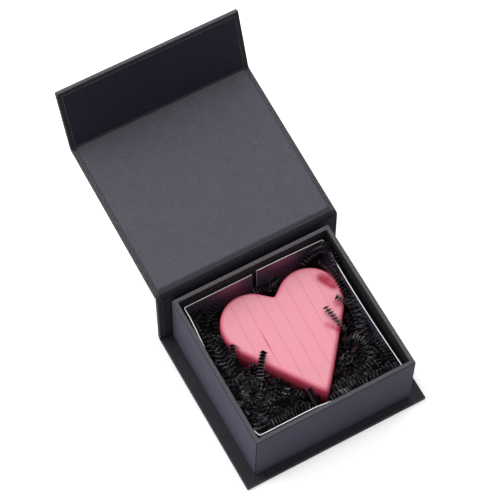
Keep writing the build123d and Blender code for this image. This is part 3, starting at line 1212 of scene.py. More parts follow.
@dataclass
class Collar:
    """The insert collar: one strip of coated board folded at the corners, its ends apart at the back.

    Attributes:
        board: Thickness of the board.
        corner: Radius of its folds.
        soft: Size of the bevel along its cut edge.
        gap: Gap between its ends.
        left_out: How far the left wall bows outwards at the top.
        right_in: How far the right wall bows inwards at the top.
        front_in: How far the front wall's left half leans inwards at the top.
        back_lean: How far the back wall leans outwards from bottom to top.
        end_rise: How far the right end at the back stands up.
    """

    board: float = 0.50 * MM
    corner: float = 0.80 * MM
    soft: float = 0.06 * MM
    gap: float = 2.50 * MM
    left_out: float = 1.85 * MM
    right_in: float = 0.80 * MM
    front_in: float = 1.70 * MM
    back_lean: float = 2.60 * MM
    end_rise: float = 1.60 * MM

    def build(self) -> None:
        """Make the strip: a thin upright section carried round the rectangle, with a white cut edge."""
        low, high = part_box("insert_collar")
        half = np.array([float(high[0]), float(high[1])])
        bottom, top = float(low[2]), float(high[2])
        outer = self._path(half, self.corner)
        inner = self._path(half - self.board, 0.4 * self.corner)
        share = np.array([0.0, 0.0, 0.0, 0.06, 0.94, 1.0, 1.0, 1.0])
        face = [bottom, top - 6 * self.soft, top - self.soft, top]
        height = np.array([*face, *face[::-1]])
        plan = outer[:, None] * (1 - share[None, :, None]) + inner[:, None] * share[None, :, None]
        rise = np.broadcast_to(((height - bottom) / (top - bottom))[None], plan.shape[:2])
        plan, lift = self._bent(plan, rise, outer, half)
        core = np.zeros(plan.shape[:2])
        core[:, 3:5] = 1.0
        core[[0, -1]] = 1.0
        points = raised(plan, height[None] + lift)
        shell = Shell(points, closed_columns=True, capped=True, attributes={"core": core})
        piece = make_piece("collar_strip", [shell], Finish.COATED_BOARD, sharp=30.0)
        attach(piece, "box")
        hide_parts("insert_collar")

    def _bent(self, plan: Array, rise: Array, outer: Array, half: Array) -> tuple[Array, Array]:
        """Bend the walls, each by its own amount times the share of the height.

        The right wall bows in and the back one leans with the cosine of the place along it. The left
        wall and the front one's left half move by ramps along them.

        Args:
            plan: Points of the strip, as X and Y.
            rise: Their height as a share of the collar's.
            outer: Points round its outer face, as X and Y.
            half: Half its width and half its depth.

        Returns:
            The bent points, and how far each is lifted.
        """
        bow = np.cos(outer / half * 0.5 * np.pi)
        on_wall = np.abs(outer) > 0.97 * half
        sideways = (on_wall[:, 0] * bow[:, 1])[:, None]
        endways = (on_wall[:, 1] * bow[:, 0])[:, None]
        x, back = plan[..., 0], plan[..., 1] / half[1]
        right, at_back = x > 0, back > 0
        to_front = limit(-back) * limit(0.4 - x / (14 * MM))
        from_back = limit((0.80 - back) / 0.55)
        from_front = limit((back + 0.99) / 0.12)
        on_left = on_wall[:, :1] * from_back * from_front
        to_left = rise * np.where(right, self.right_in * sideways, self.left_out * on_left)
        to_back = endways * at_back * self.back_lean * (rise - 1) + self.front_in * rise * to_front
        lift = self.end_rise * endways * at_back * rise * right
        return plan + np.stack([-to_left, to_back], axis=2), lift

    def _path(self, half: Array, radius: float) -> Array:
        """Points round the collar from one end to the other, close together at the two ends.

        Args:
            half: Half the width and half the depth of this face.
            radius: Radius of its corners.

        Returns:
            The points, as X and Y.
        """
        path = rounded_rectangle(*half, radius, side=14)
        path[0, 0], path[-1, 0] = -self.gap / 2, self.gap / 2
        near = np.array([[0.05 * MM, 0.0]])
        return np.concatenate([path[:1], path[:1] - near, path[1:-1], path[-1:] + near, path[-1:]])


# Heart and shred


@dataclass
class Heart:
    """The moulded heart: two lobes, straight sides to the tip, a rounded top edge and scored lines.

    Attributes:
        lobe: Radius of the lobes.
        spacing: Half the distance between the lobes' middles.
        cleft: Height of the cleft above the lobes' middles.
        cleft_round: How softly the cleft is rounded.
        tip_angle: Angle of the sides to the middle line, in degrees.
        tip_round: How softly the tip is rounded.
        turn: How far the heart is turned, in degrees.
        center: Its middle, as X and Y.
        edge: Radius of its top edge.
        pitch: Distance between the scored lines.
        score: Half the width of a line.
        score_depth: Depth of a line.
        lines: How many lines there are.
        wave: Height of the slow waves of its top.
        side_shade_depth: Depth over which the painted shade on the sides grows.
        line_shade_place: Place where a stretch of one line is darkened as painted shade, with no deeper cut,
            as X and Y.
        line_shade_size: How far that reaches, in X and in Y.
        columns: Places across it, before those of the lines are added.
        rows: Places from its front to its back.
        wall_rows: Places down its walls.
    """

    lobe: float = 15.8 * MM
    spacing: float = 15.4 * MM
    cleft: float = 7.65 * MM
    cleft_round: float = 0.5 * MM
    tip_angle: float = 36.3
    tip_round: float = 1.6 * MM
    turn: float = -2.0
    center: Span = (3.7 * MM, 1.8 * MM)
    edge: float = 2.2 * MM
    pitch: float = 7.14 * MM
    score: float = 0.15 * MM
    score_depth: float = 0.11 * MM
    lines: int = 7
    wave: float = 0.10 * MM
    side_shade_depth: float = 9.0 * MM
    line_shade_place: Span = (-10.7 * MM, 6.0 * MM)
    line_shade_size: Span = (3.2 * MM, 4.6 * MM)
    columns: int = 121
    rows: int = 71
    wall_rows: int = 13

    def __post_init__(self) -> None:
        """Work out the outline's fixed points."""
        low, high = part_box("heart")
        self.bottom, self.top = float(low[2]), float(high[2])
        turn = math.radians(self.tip_angle)
        self.half = self.spacing + self.lobe
        self.side_x = self.spacing + self.lobe * math.cos(turn)
        drop = self.lobe * math.sin(turn) + self.side_x / math.tan(turn)
        self.level = (drop - self.lobe) / 2
        self.tip_y = self.level - drop
        reach = math.hypot(self.spacing, self.cleft)
        lean = math.asin(self.lobe / reach) - math.atan2(self.cleft, self.spacing)
        run = math.sqrt(reach**2 - self.lobe**2)
        self.shoulder_x = run * math.cos(lean)
        self.cleft_slope = math.tan(lean)

    def _arc(self, size: Array) -> Array:
        """How far a lobe's circle reaches from its middle, at a distance from the middle line."""
        return np.sqrt(np.maximum(self.lobe**2 - (size - self.spacing) ** 2, 0.0))

    def front(self, x: Array) -> Array:
        """Front boundary: straight sides softened at the tip, and the lobes' lower arcs.

        Args:
            x: Places across the heart, from its middle line.

        Returns:
            Y at each.
        """
        size = np.abs(x)
        soft = np.sqrt(size**2 + self.tip_round**2) - 0.6 * self.tip_round
        straight = self.tip_y + soft / math.tan(math.radians(self.tip_angle))
        return np.where(size < self.side_x, straight, self.level - self._arc(size))

    def back(self, x: Array) -> Array:
        """Back boundary: the lobes' upper arcs, and straight slopes softened at the cleft.

        Args:
            x: Places across the heart, from its middle line.

        Returns:
            Y at each.
        """
        size = np.abs(x)
        soft = np.sqrt(size**2 + self.cleft_round**2)
        slope = self.level + self.cleft + soft * self.cleft_slope
        return np.where(size < self.shoulder_x, slope, self.level + self._arc(size))

    def outline(self, count: int = 240) -> Array:
        """Points round the heart, closer together at its sides.

        Args:
            count: How many.

        Returns:
            The points in the frame, as X and Y.
        """
        x = self.half * np.sin(np.linspace(-0.5, 0.5, count // 2) * np.pi)
        ring = np.concatenate([np.stack([x, self.front(x)], 1), np.stack([x, self.back(x)], 1)[::-1]])
        return self.placed(ring)

    @property
    def rotation(self) -> Array:
        """Matrix that turns points of the heart's own plane, as rows, into the frame."""
        turn = math.radians(self.turn)
        return np.array([[math.cos(turn), math.sin(turn)], [-math.sin(turn), math.cos(turn)]])

    def placed(self, local: Array) -> Array:
        """Turn and move points of the heart's own plane into the frame."""
        return local @ self.rotation + np.array(self.center)

    def holds(self, at: Array) -> Array:
        """Tell which points lie inside the outline.

        Args:
            at: Points of the frame, as X and Y.

        Returns:
            True at those that do.
        """
        x, y = ((at - np.array(self.center)) @ self.rotation.T).T
        inner = np.clip(x, -self.half, self.half)
        return (np.abs(x) < self.half) & (y > self.front(inner)) & (y < self.back(inner))

    def build(self) -> None:
        """Make the top face and the walls below its boundary, and join them."""
        top = self._top()
        piece = make_piece("heart_bar", [top, self._wall(top.points)], Finish.HEART, sharp=75.0)
        self._close(piece)
        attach(piece, "box")
        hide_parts("heart")

    def _columns(self) -> tuple[Array, Array]:
        """Places across the heart, closer together at its sides and in the scored lines.

        Returns:
            X of each column, and its distance from the nearest line.
        """
        lines = (np.arange(self.lines) - (self.lines - 1) / 2) * self.pitch
        valley = self.score * np.array([-2.2, -1.0, -0.35, 0.35, 1.0, 2.2])
        x = self.half * np.sin(np.linspace(-0.5, 0.5, self.columns) * np.pi)
        x = x[np.min(np.abs(x[:, None] - lines[None]), axis=1) > 2.6 * self.score]
        x = np.sort(np.concatenate([x, (lines[:, None] + valley[None]).ravel()]))
        return x, np.min(np.abs(x[:, None] - lines[None]), axis=1)

    def _top(self) -> Shell:
        """The top face, as columns across the heart that run from its front boundary to its back one.

        It is lowered by edge - sqrt(edge^2 - (edge - d)^2) at distance d from the outline, by
        exp(-(x / score)^2) at distance x from a scored line and by the dents, and a slow wave is added.

        Returns:
            The shell, with what its finish reads.
        """
        x, nearest = self._columns()
        share = 0.5 - 0.5 * np.cos(np.linspace(0.0, 1.0, self.rows) * np.pi)
        y = self.front(x)[:, None] + (self.back(x) - self.front(x))[:, None] * share[None]
        plane = np.stack([np.broadcast_to(x[:, None], y.shape), y], axis=2)
        ring = self.outline(600)
        at = self.placed(plane.reshape(-1, 2))
        parts = [self._distance(part, ring) for part in np.array_split(at, 24)]
        distance = np.concatenate(parts).reshape(y.shape)
        distance[:, [0, -1]] = 0.0
        distance[[0, -1]] = 0.0
        short = np.clip(self.edge - distance, 0.0, self.edge)
        drop = self.edge - np.sqrt(np.maximum(self.edge**2 - short**2, 0.0))
        groove = bell(nearest, self.score)[:, None] * (distance > 0.25 * MM)
        groove = groove * limit(1.2 - drop / (0.9 * MM))
        wave = self.wave * np.sin(at[:, 0] / (9 * MM) + 1.0) * np.cos(at[:, 1] / (11 * MM))
        dent, pressed = (part.reshape(y.shape) for part in self._dents(at))
        level = self.top - drop - self.score_depth * groove + wave.reshape(y.shape) - dent
        # Painted shade along a stretch of one scored line, by color only.
        deep = np.exp(-(((at - self.line_shade_place) / self.line_shade_size) ** 2).sum(1)).reshape(y.shape)
        pressed = np.maximum(pressed, bell(nearest, 1.8 * self.score)[:, None] * deep)
        side = limit(drop / self.edge) ** 0.55
        points = raised(at.reshape(*y.shape, 2), level)
        return Shell(points, attributes={"groove": groove, "side": side, "pressed": pressed})

    def _wall(self, top: Array) -> Shell:
        """The walls, straight down from the top's boundary, with painted shade that grows with depth.

        Args:
            top: Points of the top face.

        Returns:
            The shell, with what its finish reads.
        """
        rim = np.concatenate([top[:, 0], top[-1:, -1], top[::-1, -1][1:-1]])
        rows = np.linspace(0.0, 1.0, self.wall_rows)[:, None]
        level = rim[None, :, 2] * (1 - rows) + self.bottom * rows
        plan = np.broadcast_to(rim[None, :, :2], (*level.shape, 2))
        # Painted shade: how far down the walls each point lies.
        low = np.clip((self.top - self.edge - level) / self.side_shade_depth, 0.0, 0.9)
        tones = {"side": np.ones(low.shape), "low": low}
        return Shell(raised(plan, level), closed_columns=True, attributes=tones)

    @staticmethod
    def _close(piece: bpy.types.Object) -> None:
        """Join the top to the walls, and fill the underside.

        Args:
            piece: The heart's object.
        """
        work = bmesh.new()
        work.from_mesh(piece.data)
        bmesh.ops.remove_doubles(work, verts=work.verts, dist=1e-6)
        open_edges = [edge for edge in work.edges if edge.is_boundary]
        bmesh.ops.holes_fill(work, edges=open_edges)
        bmesh.ops.recalc_face_normals(work, faces=work.faces)
        work.to_mesh(piece.data)
        work.free()
        piece.data.polygons.foreach_set("use_smooth", np.ones(len(piece.data.polygons), bool))

    @staticmethod
    def _distance(at: Array, ring: Array) -> Array:
        """Distance from points to the nearest edge of a closed outline.

        Args:
            at: The points, as X and Y.
            ring: Points round the outline, as X and Y.

        Returns:
            The distance of each.
        """
        run = np.roll(ring, -1, axis=0) - ring
        offset = at[:, None] - ring[None]
        along = limit((offset * run).sum(2) / np.maximum((run**2).sum(1), 1e-18))
        return np.linalg.norm(offset - along[..., None] * run[None], axis=2).min(1)

    @staticmethod
    def _dents(at: Array) -> tuple[Array, Array]:
        """Soft dents in the heart's edge, where the shred presses on it, and the painted shadows of strips
        over it: sums of exp(-(d / size)^2).

        Args:
            at: Points, as X and Y.

        Returns:
            Their depth, and how far the color is deepened there as painted shadow.
        """
        # The first four places are dents that take a painted shadow; the last three are a painted shadow
        # under a strip, barely dented.
        lobe = [[29.2, 23.4], [31.4, 20.6], [32.8, 17.2], [29.8, 7.6]]
        strip_shadow = [[19.4, 0.2], [21.0, -1.8], [22.6, -4.0]]
        spots = np.array(lobe + strip_shadow) * MM
        sizes = np.array([2.2, 2.6, 2.2, 2.4, 1.3, 1.5, 1.6]) * MM
        depths = np.array([1.2, 2.6, 1.8, 0.6, 0.2, 0.3, 0.5]) * MM
        tones = np.array([0.90, 1.00, 0.90, 0.60, 0.75, 0.85, 0.85])
        near = bell(np.linalg.norm(at[:, None] - spots[None], axis=2), sizes[None])
        return (depths * near).sum(1), np.clip((tones * near).sum(1), 0.0, 0.9)


@dataclass(frozen=True)
class Lot:
    """A lot of strips that are scattered at random.

    Attributes:
        count: How many.
        creases: How many creases each has.
        depth: Lowest and highest middle above the shred's top, in millimetres.
        spread: Least and greatest distance between the creases, in millimetres.
        tilt: Spread of their slopes.
        roll: Spread of the turn of their folds.
        twist: Spread of their twist, in radians per metre.
    """

    count: int
    creases: int
    depth: Span
    spread: Span
    tilt: float
    roll: float
    twist: float


@dataclass(frozen=True)
class CurlLook:
    """How a single strip is folded.

    Attributes:
        crease_highlight: How strong the painted highlight on its creases is.
        pitch: Distance between its creases, in millimetres.
        fold: Height of its folds, in millimetres.
        slim: Share of the full width.
        bulk: How many times the usual thickness.
    """

    crease_highlight: float
    pitch: float
    fold: float
    slim: float = 1.0
    bulk: float = 1.0


# Single strips: four points of the middle line in millimetres, the turn of the first fold, and how far the
# folds turn from there to the last one.
CURLS_ON_HEART = (
    ((-2.4, -31.0, 19.0), (-3.4, -29.0, 22.4), (-4.2, -26.4, 26.4), (-4.8, -23.6, 29.6), 1.5, 0.3),
    ((25.6, -6.2, 28.6), (24.4, -2.6, 30.8), (23.6, 3.2, 30.9), (22.4, 8.0, 31.3), 1.5, 0.2),
    ((34.6, 3.2, 26.0), (34.0, 5.4, 31.4), (30.8, 7.6, 31.6), (29.4, 10.6, 31.4), 1.0, 0.9),
)
CURLS_ON_SHRED = (
    ((33.2, 31.8, 29.0), (34.8, 24.4, 31.6), (34.8, 17.6, 31.4), (35.0, 10.4, 30.4), 1.2, 1.6),
    ((36.6, 17.5, 29.0), (36.4, 12.5, 30.6), (35.4, 7.0, 30.0), (34.6, 2.0, 28.6), 0.5, 1.6),
    ((33.6, 3.0, 28.4), (33.8, -0.6, 28.6), (33.6, -4.2, 28.2), (33.4, -8.5, 26.0), 1.1, 1.4),
    ((-22.8, -9.6, 19.0), (-20.8, -6.2, 26.8), (-18.6, -2.2, 31.0), (-14.6, 1.6, 31.2), 0.1, 0.5),
    ((-33.4, 12.0, 20.6), (-29.6, 7.2, 22.4), (-26.6, 7.6, 28.2), (-25.6, 12.6, 31.4), 0.3, 0.5),
    ((-22.0, 35.2, 26.0), (-27.1, 33.7, 26.0), (-31.4, 30.2, 24.6), (-33.0, 25.0, 22.0), 0.4, 1.8),
    ((-36.0, 26.5, 24.5), (-36.6, 31.0, 27.0), (-34.0, 35.6, 27.5), (-29.0, 36.2, 26.0), 0.4, 1.2),
    ((-36.4, 20.0, 23.0), (-35.0, 25.0, 26.6), (-35.2, 30.5, 27.2), (-36.6, 35.0, 26.0), 0.9, 1.0),
    ((-33.4, 26.0, 22.0), (-33.6, 22.0, 24.6), (-33.0, 16.0, 24.0), (-31.6, 11.0, 21.0), 0.9, 1.0),
    ((24.4, 35.0, 27.4), (29.6, 35.6, 31.0), (33.8, 35.4, 34.4), (36.6, 32.6, 36.6), 1.2, 1.2),
    ((36.6, 35.6, 36.0), (37.8, 32.0, 39.0), (38.2, 28.0, 39.0), (36.8, 22.0, 34.0), 0.7, 0.9),
    ((-3.2, 34.6, 20.4), (0.4, 36.2, 22.6), (4.7, 36.2, 22.8), (7.6, 32.5, 20.0), 0.3, 1.4),
    ((-1.0, 36.0, 22.0), (2.6, 33.0, 25.4), (6.0, 32.6, 25.6), (11.6, 36.0, 22.4), 1.0, 0.8),
    ((0.8, -34.8, 33.2), (6.4, -36.2, 36.6), (12.6, -35.4, 36.4), (19.0, -35.8, 35.0), 0.5, 2.8),
    ((15.6, -34.4, 34.8), (21.6, -36.0, 37.0), (28.0, -34.6, 36.6), (34.6, -35.6, 36.0), 0.2, 3.0),
    ((8.4, -31.0, 30.6), (14.0, -32.6, 34.4), (20.2, -30.2, 35.0), (27.6, -28.2, 33.8), 0.9, 2.4),
    ((-35.9, 3.6, 21.0), (-35.8, 0.4, 24.6), (-34.8, -2.2, 24.4), (-33.4, -4.4, 20.5), 0.3, 0.8),
    ((-31.0, -8.4, 21.5), (-28.8, -9.6, 26.2), (-25.4, -11.4, 26.2), (-21.8, -12.8, 22.0), 0.2, 0.6),
    ((-35.2, -12.4, 21.0), (-31.0, -14.0, 26.0), (-26.4, -18.8, 26.0), (-25.8, -27.2, 21.6), 0.4, 1.4),
    ((-26.8, -29.2, 24.0), (-22.0, -30.6, 28.2), (-15.2, -31.0, 28.2), (-7.8, -30.2, 25.6), 0.2, 1.0),
    ((-36.0, -28.2, 22.0), (-35.8, -26.2, 26.2), (-33.0, -24.0, 26.0), (-29.4, -22.0, 22.4), 0.5, 0.9),
    ((34.8, -33.4, 35.4), (36.0, -28.4, 36.8), (35.2, -22.6, 35.8), (33.6, -16.4, 33.0), 0.4, 1.3),
)


@dataclass
class Shred:
    """Crinkle shred round the heart: a dark bed and many accordion-folded paper strips.

    Attributes:
        heart: The heart that the shred lies round.
        sunk: The strips that lie in the bed, at any turn.
        loose: Those that lie open on top of it.
        short: The short ones that fill the corners.
        tries: How many strips are tried at a time.
        twist_run: Length over which a scattered strip's twist is counted.
        on_heart: How the single strips on the heart look: plain and slim.
        on_shred: How those on the shred look: with a painted highlight on their creases.
        width: Width of a strip.
        paper: Thickness of the paper as drawn.
        bed_depth: How far the bed lies below the shred's top.
        bed_steps: Places across the bed, each way.
        seed: Start of the random numbers.
    """

    heart: Heart
    sunk: Lot = Lot(130, 19, (-5.5, -0.5), (0.90, 1.25), tilt=0.30, roll=2.0, twist=110.0)
    loose: Lot = Lot(60, 19, (0.0, 2.0), (1.05, 1.50), tilt=0.12, roll=0.55, twist=25.0)
    short: Lot = Lot(70, 9, (-2.0, 1.2), (0.90, 1.30), tilt=0.25, roll=1.2, twist=60.0)
    tries: int = 240
    twist_run: float = 0.018
    on_heart: CurlLook = CurlLook(crease_highlight=0.0, pitch=0.80, fold=0.95, slim=0.70, bulk=4.0)
    on_shred: CurlLook = CurlLook(crease_highlight=0.7, pitch=0.85, fold=1.40)
    width: float = 3.0 * MM
    paper: float = 0.22 * MM
    bed_depth: float = 7.0 * MM
    bed_steps: int = 61
    seed: int = 11

    def __post_init__(self) -> None:
        """Find the room inside the collar."""
        low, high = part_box("insert_collar")
        self.room = np.array([float(high[0]), float(high[1])]) - 0.6 * MM
        self.floor = float(low[2])
        self.rim = float(high[2])
        self.random = np.random.default_rng(self.seed)
        self.ring = self.heart.outline()

    def build(self) -> None:
        """Make the bed and the strips."""
        self._bed()
        strips = [strip for lot in (self.sunk, self.loose, self.short) for strip in self._scattered(lot)]
        piece = make_piece("shred_strips", strips, Finish.CRINKLE, sharp=20.0)
        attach(piece, "box")
        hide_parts("crinkle_strips")
        piece = make_piece("shred_curls", self._curls(), Finish.CRINKLE, sharp=20.0)
        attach(piece, "box")

    def _clear(self, at: Array) -> Array:
        """Distance of points, as X and Y, from the heart's outline, negative inside it."""
        distance = np.linalg.norm(at[:, None] - self.ring[None], axis=2).min(1)
        return np.where(self.heart.holds(at), -1.0, 1.0) * distance

    def surface(self, at: Array) -> Array:
        """Height of the shred's top: low beside the heart's front, higher at the right and in the corners.

        It is a sum of ramps, in millimetres: with the distance from the heart, towards each side of the
        collar, into two of its corners, and along the left of the heart's tip.

        Args:
            at: Points, as X and Y.

        Returns:
            The height at each.
        """
        away = limit(self._clear(at) / (11 * MM))
        share = at / self.room
        right, back = limit(share).T
        left, front = limit(-share).T
        front_right = right * front
        back_left = limit(2.2 * left * back)
        tip_left = limit((-2 * MM - at[:, 1]) / (9 * MM)) * (at[:, 0] < 3 * MM)
        tip_left = tip_left * limit((at[:, 1] + 27 * MM) / (7 * MM))
        rise = 8.0 * away + 9.0 * right + 7.0 * front_right + 3.0 * back + 5.5 * left
        rise += 7.0 * tip_left * (1 - away) + 6.0 * back_left
        return self.floor + (6.0 + rise) * MM

    def _bed(self) -> None:
        """Make the bed: a sheet over the collar's inside, some way below the shred's top and the heart."""
        steps = np.linspace(-1.0, 1.0, self.bed_steps)
        x, y = np.meshgrid(steps * self.room[0], steps * self.room[1], indexing="ij")
        at = np.stack([x.ravel(), y.ravel()], axis=1)
        level = np.maximum(self.surface(at) - self.bed_depth, self.floor + 2 * MM)
        level = np.where(self._clear(at) < 0, np.minimum(level, self.heart.bottom - 0.2 * MM), level)
        sheets = [Shell(raised(at, height).reshape(*x.shape, 3)) for height in (level, self.floor)]
        piece = make_piece("shred_mass", sheets, Finish.SHRED_MASS, sharp=60.0)
        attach(piece, "box")
        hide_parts("shred_bed")

    def _scattered(self, lot: Lot) -> list[Shell]:
        """Lay a lot of strips at random, keeping those that are free of the heart and the collar.

        A middle line is an arc: its heading grows evenly along it, and its height follows its slope.

        Args:
            lot: How many there are, and how they lie.

        Returns:
            A closed shell for each strip.
        """
        middle = lot.creases // 2
        kept = np.empty((0, lot.creases, 3))
        while len(kept) < lot.count:
            places = self.random.uniform(-1.0, 1.0, (self.tries, 2)) * (self.room - 2.5 * MM)
            pitch = self.random.uniform(*lot.spread, self.tries) * MM
            heading = self.random.uniform(0.0, 2 * np.pi, self.tries)
            bend = self.random.normal(0.0, 60.0, self.tries)
            slope = self.random.normal(0.0, lot.tilt, self.tries)
            run = (np.arange(lot.creases) - middle)[None] * pitch[:, None]
            angle = heading[:, None] + bend[:, None] * run
            ahead = np.stack([np.cos(angle), np.sin(angle)], axis=2) * pitch[:, None, None]
            path = np.cumsum(ahead, axis=1)
            path = path - path[:, middle, None] + places[:, None]
            level = self.surface(places) + self.random.uniform(*lot.depth, self.tries) * MM
            height = level[:, None] + slope[:, None] * run
            spine = raised(path, height)
            kept = np.concatenate([kept, spine[self._free(spine)]])
        turn = self.random.normal(0.0, lot.roll, lot.count)[:, None]
        twist = self.random.normal(0.0, lot.twist, lot.count)[:, None]
        turn = turn + twist * np.linspace(-0.5, 0.5, lot.creases) * self.twist_run
        fold = self.random.uniform(1.00, 1.45, lot.count)
        # Strength of each strip's painted crease highlight, faint on most.
        crease_highlight = 1.3 * self.random.uniform(0.1, 1.0, lot.count) ** 2
        return self._strips(kept[: lot.count], turn, fold, crease_highlight)

    def _free(self, spine: Array) -> Array:
        """Tell which middle lines stay clear of the heart, the collar's walls, the floor and the rim.

        Args:
            spine: Strips by creases by three.

        Returns:
            True at the strips that do.
        """
        flat = spine.reshape(-1, 3)
        plan, level = flat[:, :2], flat[:, 2]
        free = (self._clear(plan) > 0.5 * MM) | (level > self.heart.top + 1.6 * MM)
        free &= (np.abs(plan) < self.room - 1.2 * MM).all(1)
        free &= (level > self.floor + 1.5 * MM) & (level < self.rim + 1.5 * MM)
        return free.reshape(spine.shape[:2]).all(1)

    def _strips(
        self, spine: Array, roll: Array, fold: Array, crease_highlight: Array, slim: float = 1.0, bulk: float = 1.0
    ) -> list[Shell]:
        """Accordion-folded strips along middle lines.

        At each crease the strip steps to one side and the other of its middle line by the fold height, and
        it reaches half its width to both sides across that.

        Args:
            spine: Strips by creases by three.
            roll: Turn of the fold direction round the middle line at each crease.
            fold: Height of each strip's folds, in millimetres.
            crease_highlight: How strong the painted highlight on each strip's creases is.
            slim: Share of the full width.
            bulk: How many times the usual thickness.

        Returns:
            A closed shell for each strip.
        """
        ahead = unit(np.gradient(spine, axis=1))
        flat = unit(np.cross(ahead, np.array([0.0, 0.0, 1.0])))
        upright = np.cross(flat, ahead)
        turn = roll[..., None]
        lift = np.cos(turn) * upright + np.sin(turn) * flat
        wide = np.cross(ahead, lift)
        zigzag = np.where(np.arange(spine.shape[1]) % 2, 1.0, -1.0)[None, :, None]
        middle = spine + lift * zigzag * (fold * MM)[:, None, None]
        half = 0.5 * slim * self.width * wide
        thick = 0.5 * bulk * self.paper * lift
        sides = ((1, 1), (-1, 1), (-1, -1), (1, -1))
        rings = np.stack([middle + aside * half + out * thick for aside, out in sides], axis=2)
        fine = np.repeat(rings, 2, axis=1)[:, :-1]
        fine[:, 1::2] = 0.5 * (rings[:, :-1] + rings[:, 1:])
        on_crease = (np.arange(fine.shape[1]) % 2 == 0).astype(float)
        # Mark the creases for the painted highlight, and give each strip its strength.
        ridge = np.broadcast_to(on_crease[:, None], fine.shape[1:3])
        looks = [{"ridge": ridge, "pale": np.full(ridge.shape, pale)} for pale in crease_highlight]
        pairs = zip(fine, looks)
        return [Shell(ring, closed_columns=True, capped=True, attributes=look) for ring, look in pairs]

    def _curls(self) -> list[Shell]:
        """The single strips, along given middle lines that are cubic Bezier curves of four points.

        Returns:
            A closed shell for each strip.
        """
        rows = [(row, self.on_heart) for row in CURLS_ON_HEART]
        rows += [(row, self.on_shred) for row in CURLS_ON_SHRED]
        curls = []
        for (*points, start, twist), look in rows:
            control = np.array(points) * MM
            length = np.linalg.norm(np.diff(control, axis=0), axis=1).sum()
            share = np.linspace(0.0, 1.0, round(length / (look.pitch * MM)))[:, None]
            left = 1 - share
            weights = (left**3, 3 * share * left**2, 3 * share**2 * left, share**3)
            middle = sum(weight * point for weight, point in zip(weights, control))
            roll = start + twist * share.T
            fold, crease_highlight = np.array([look.fold]), np.array([look.crease_highlight])
            curls += self._strips(middle[None], roll, fold, crease_highlight, look.slim, look.bulk)
        return curls


# Studio


@dataclass(frozen=True)
class Lamp:
    """A square lamp that faces the object.

    Attributes:
        name: Its name.
        azimuth: Its direction in degrees, from +X towards +Y.
        elevation: Its height in degrees above the floor.
        power: Its power in watts.
    """

    name: str
    azimuth: float
    elevation: float
    power: float


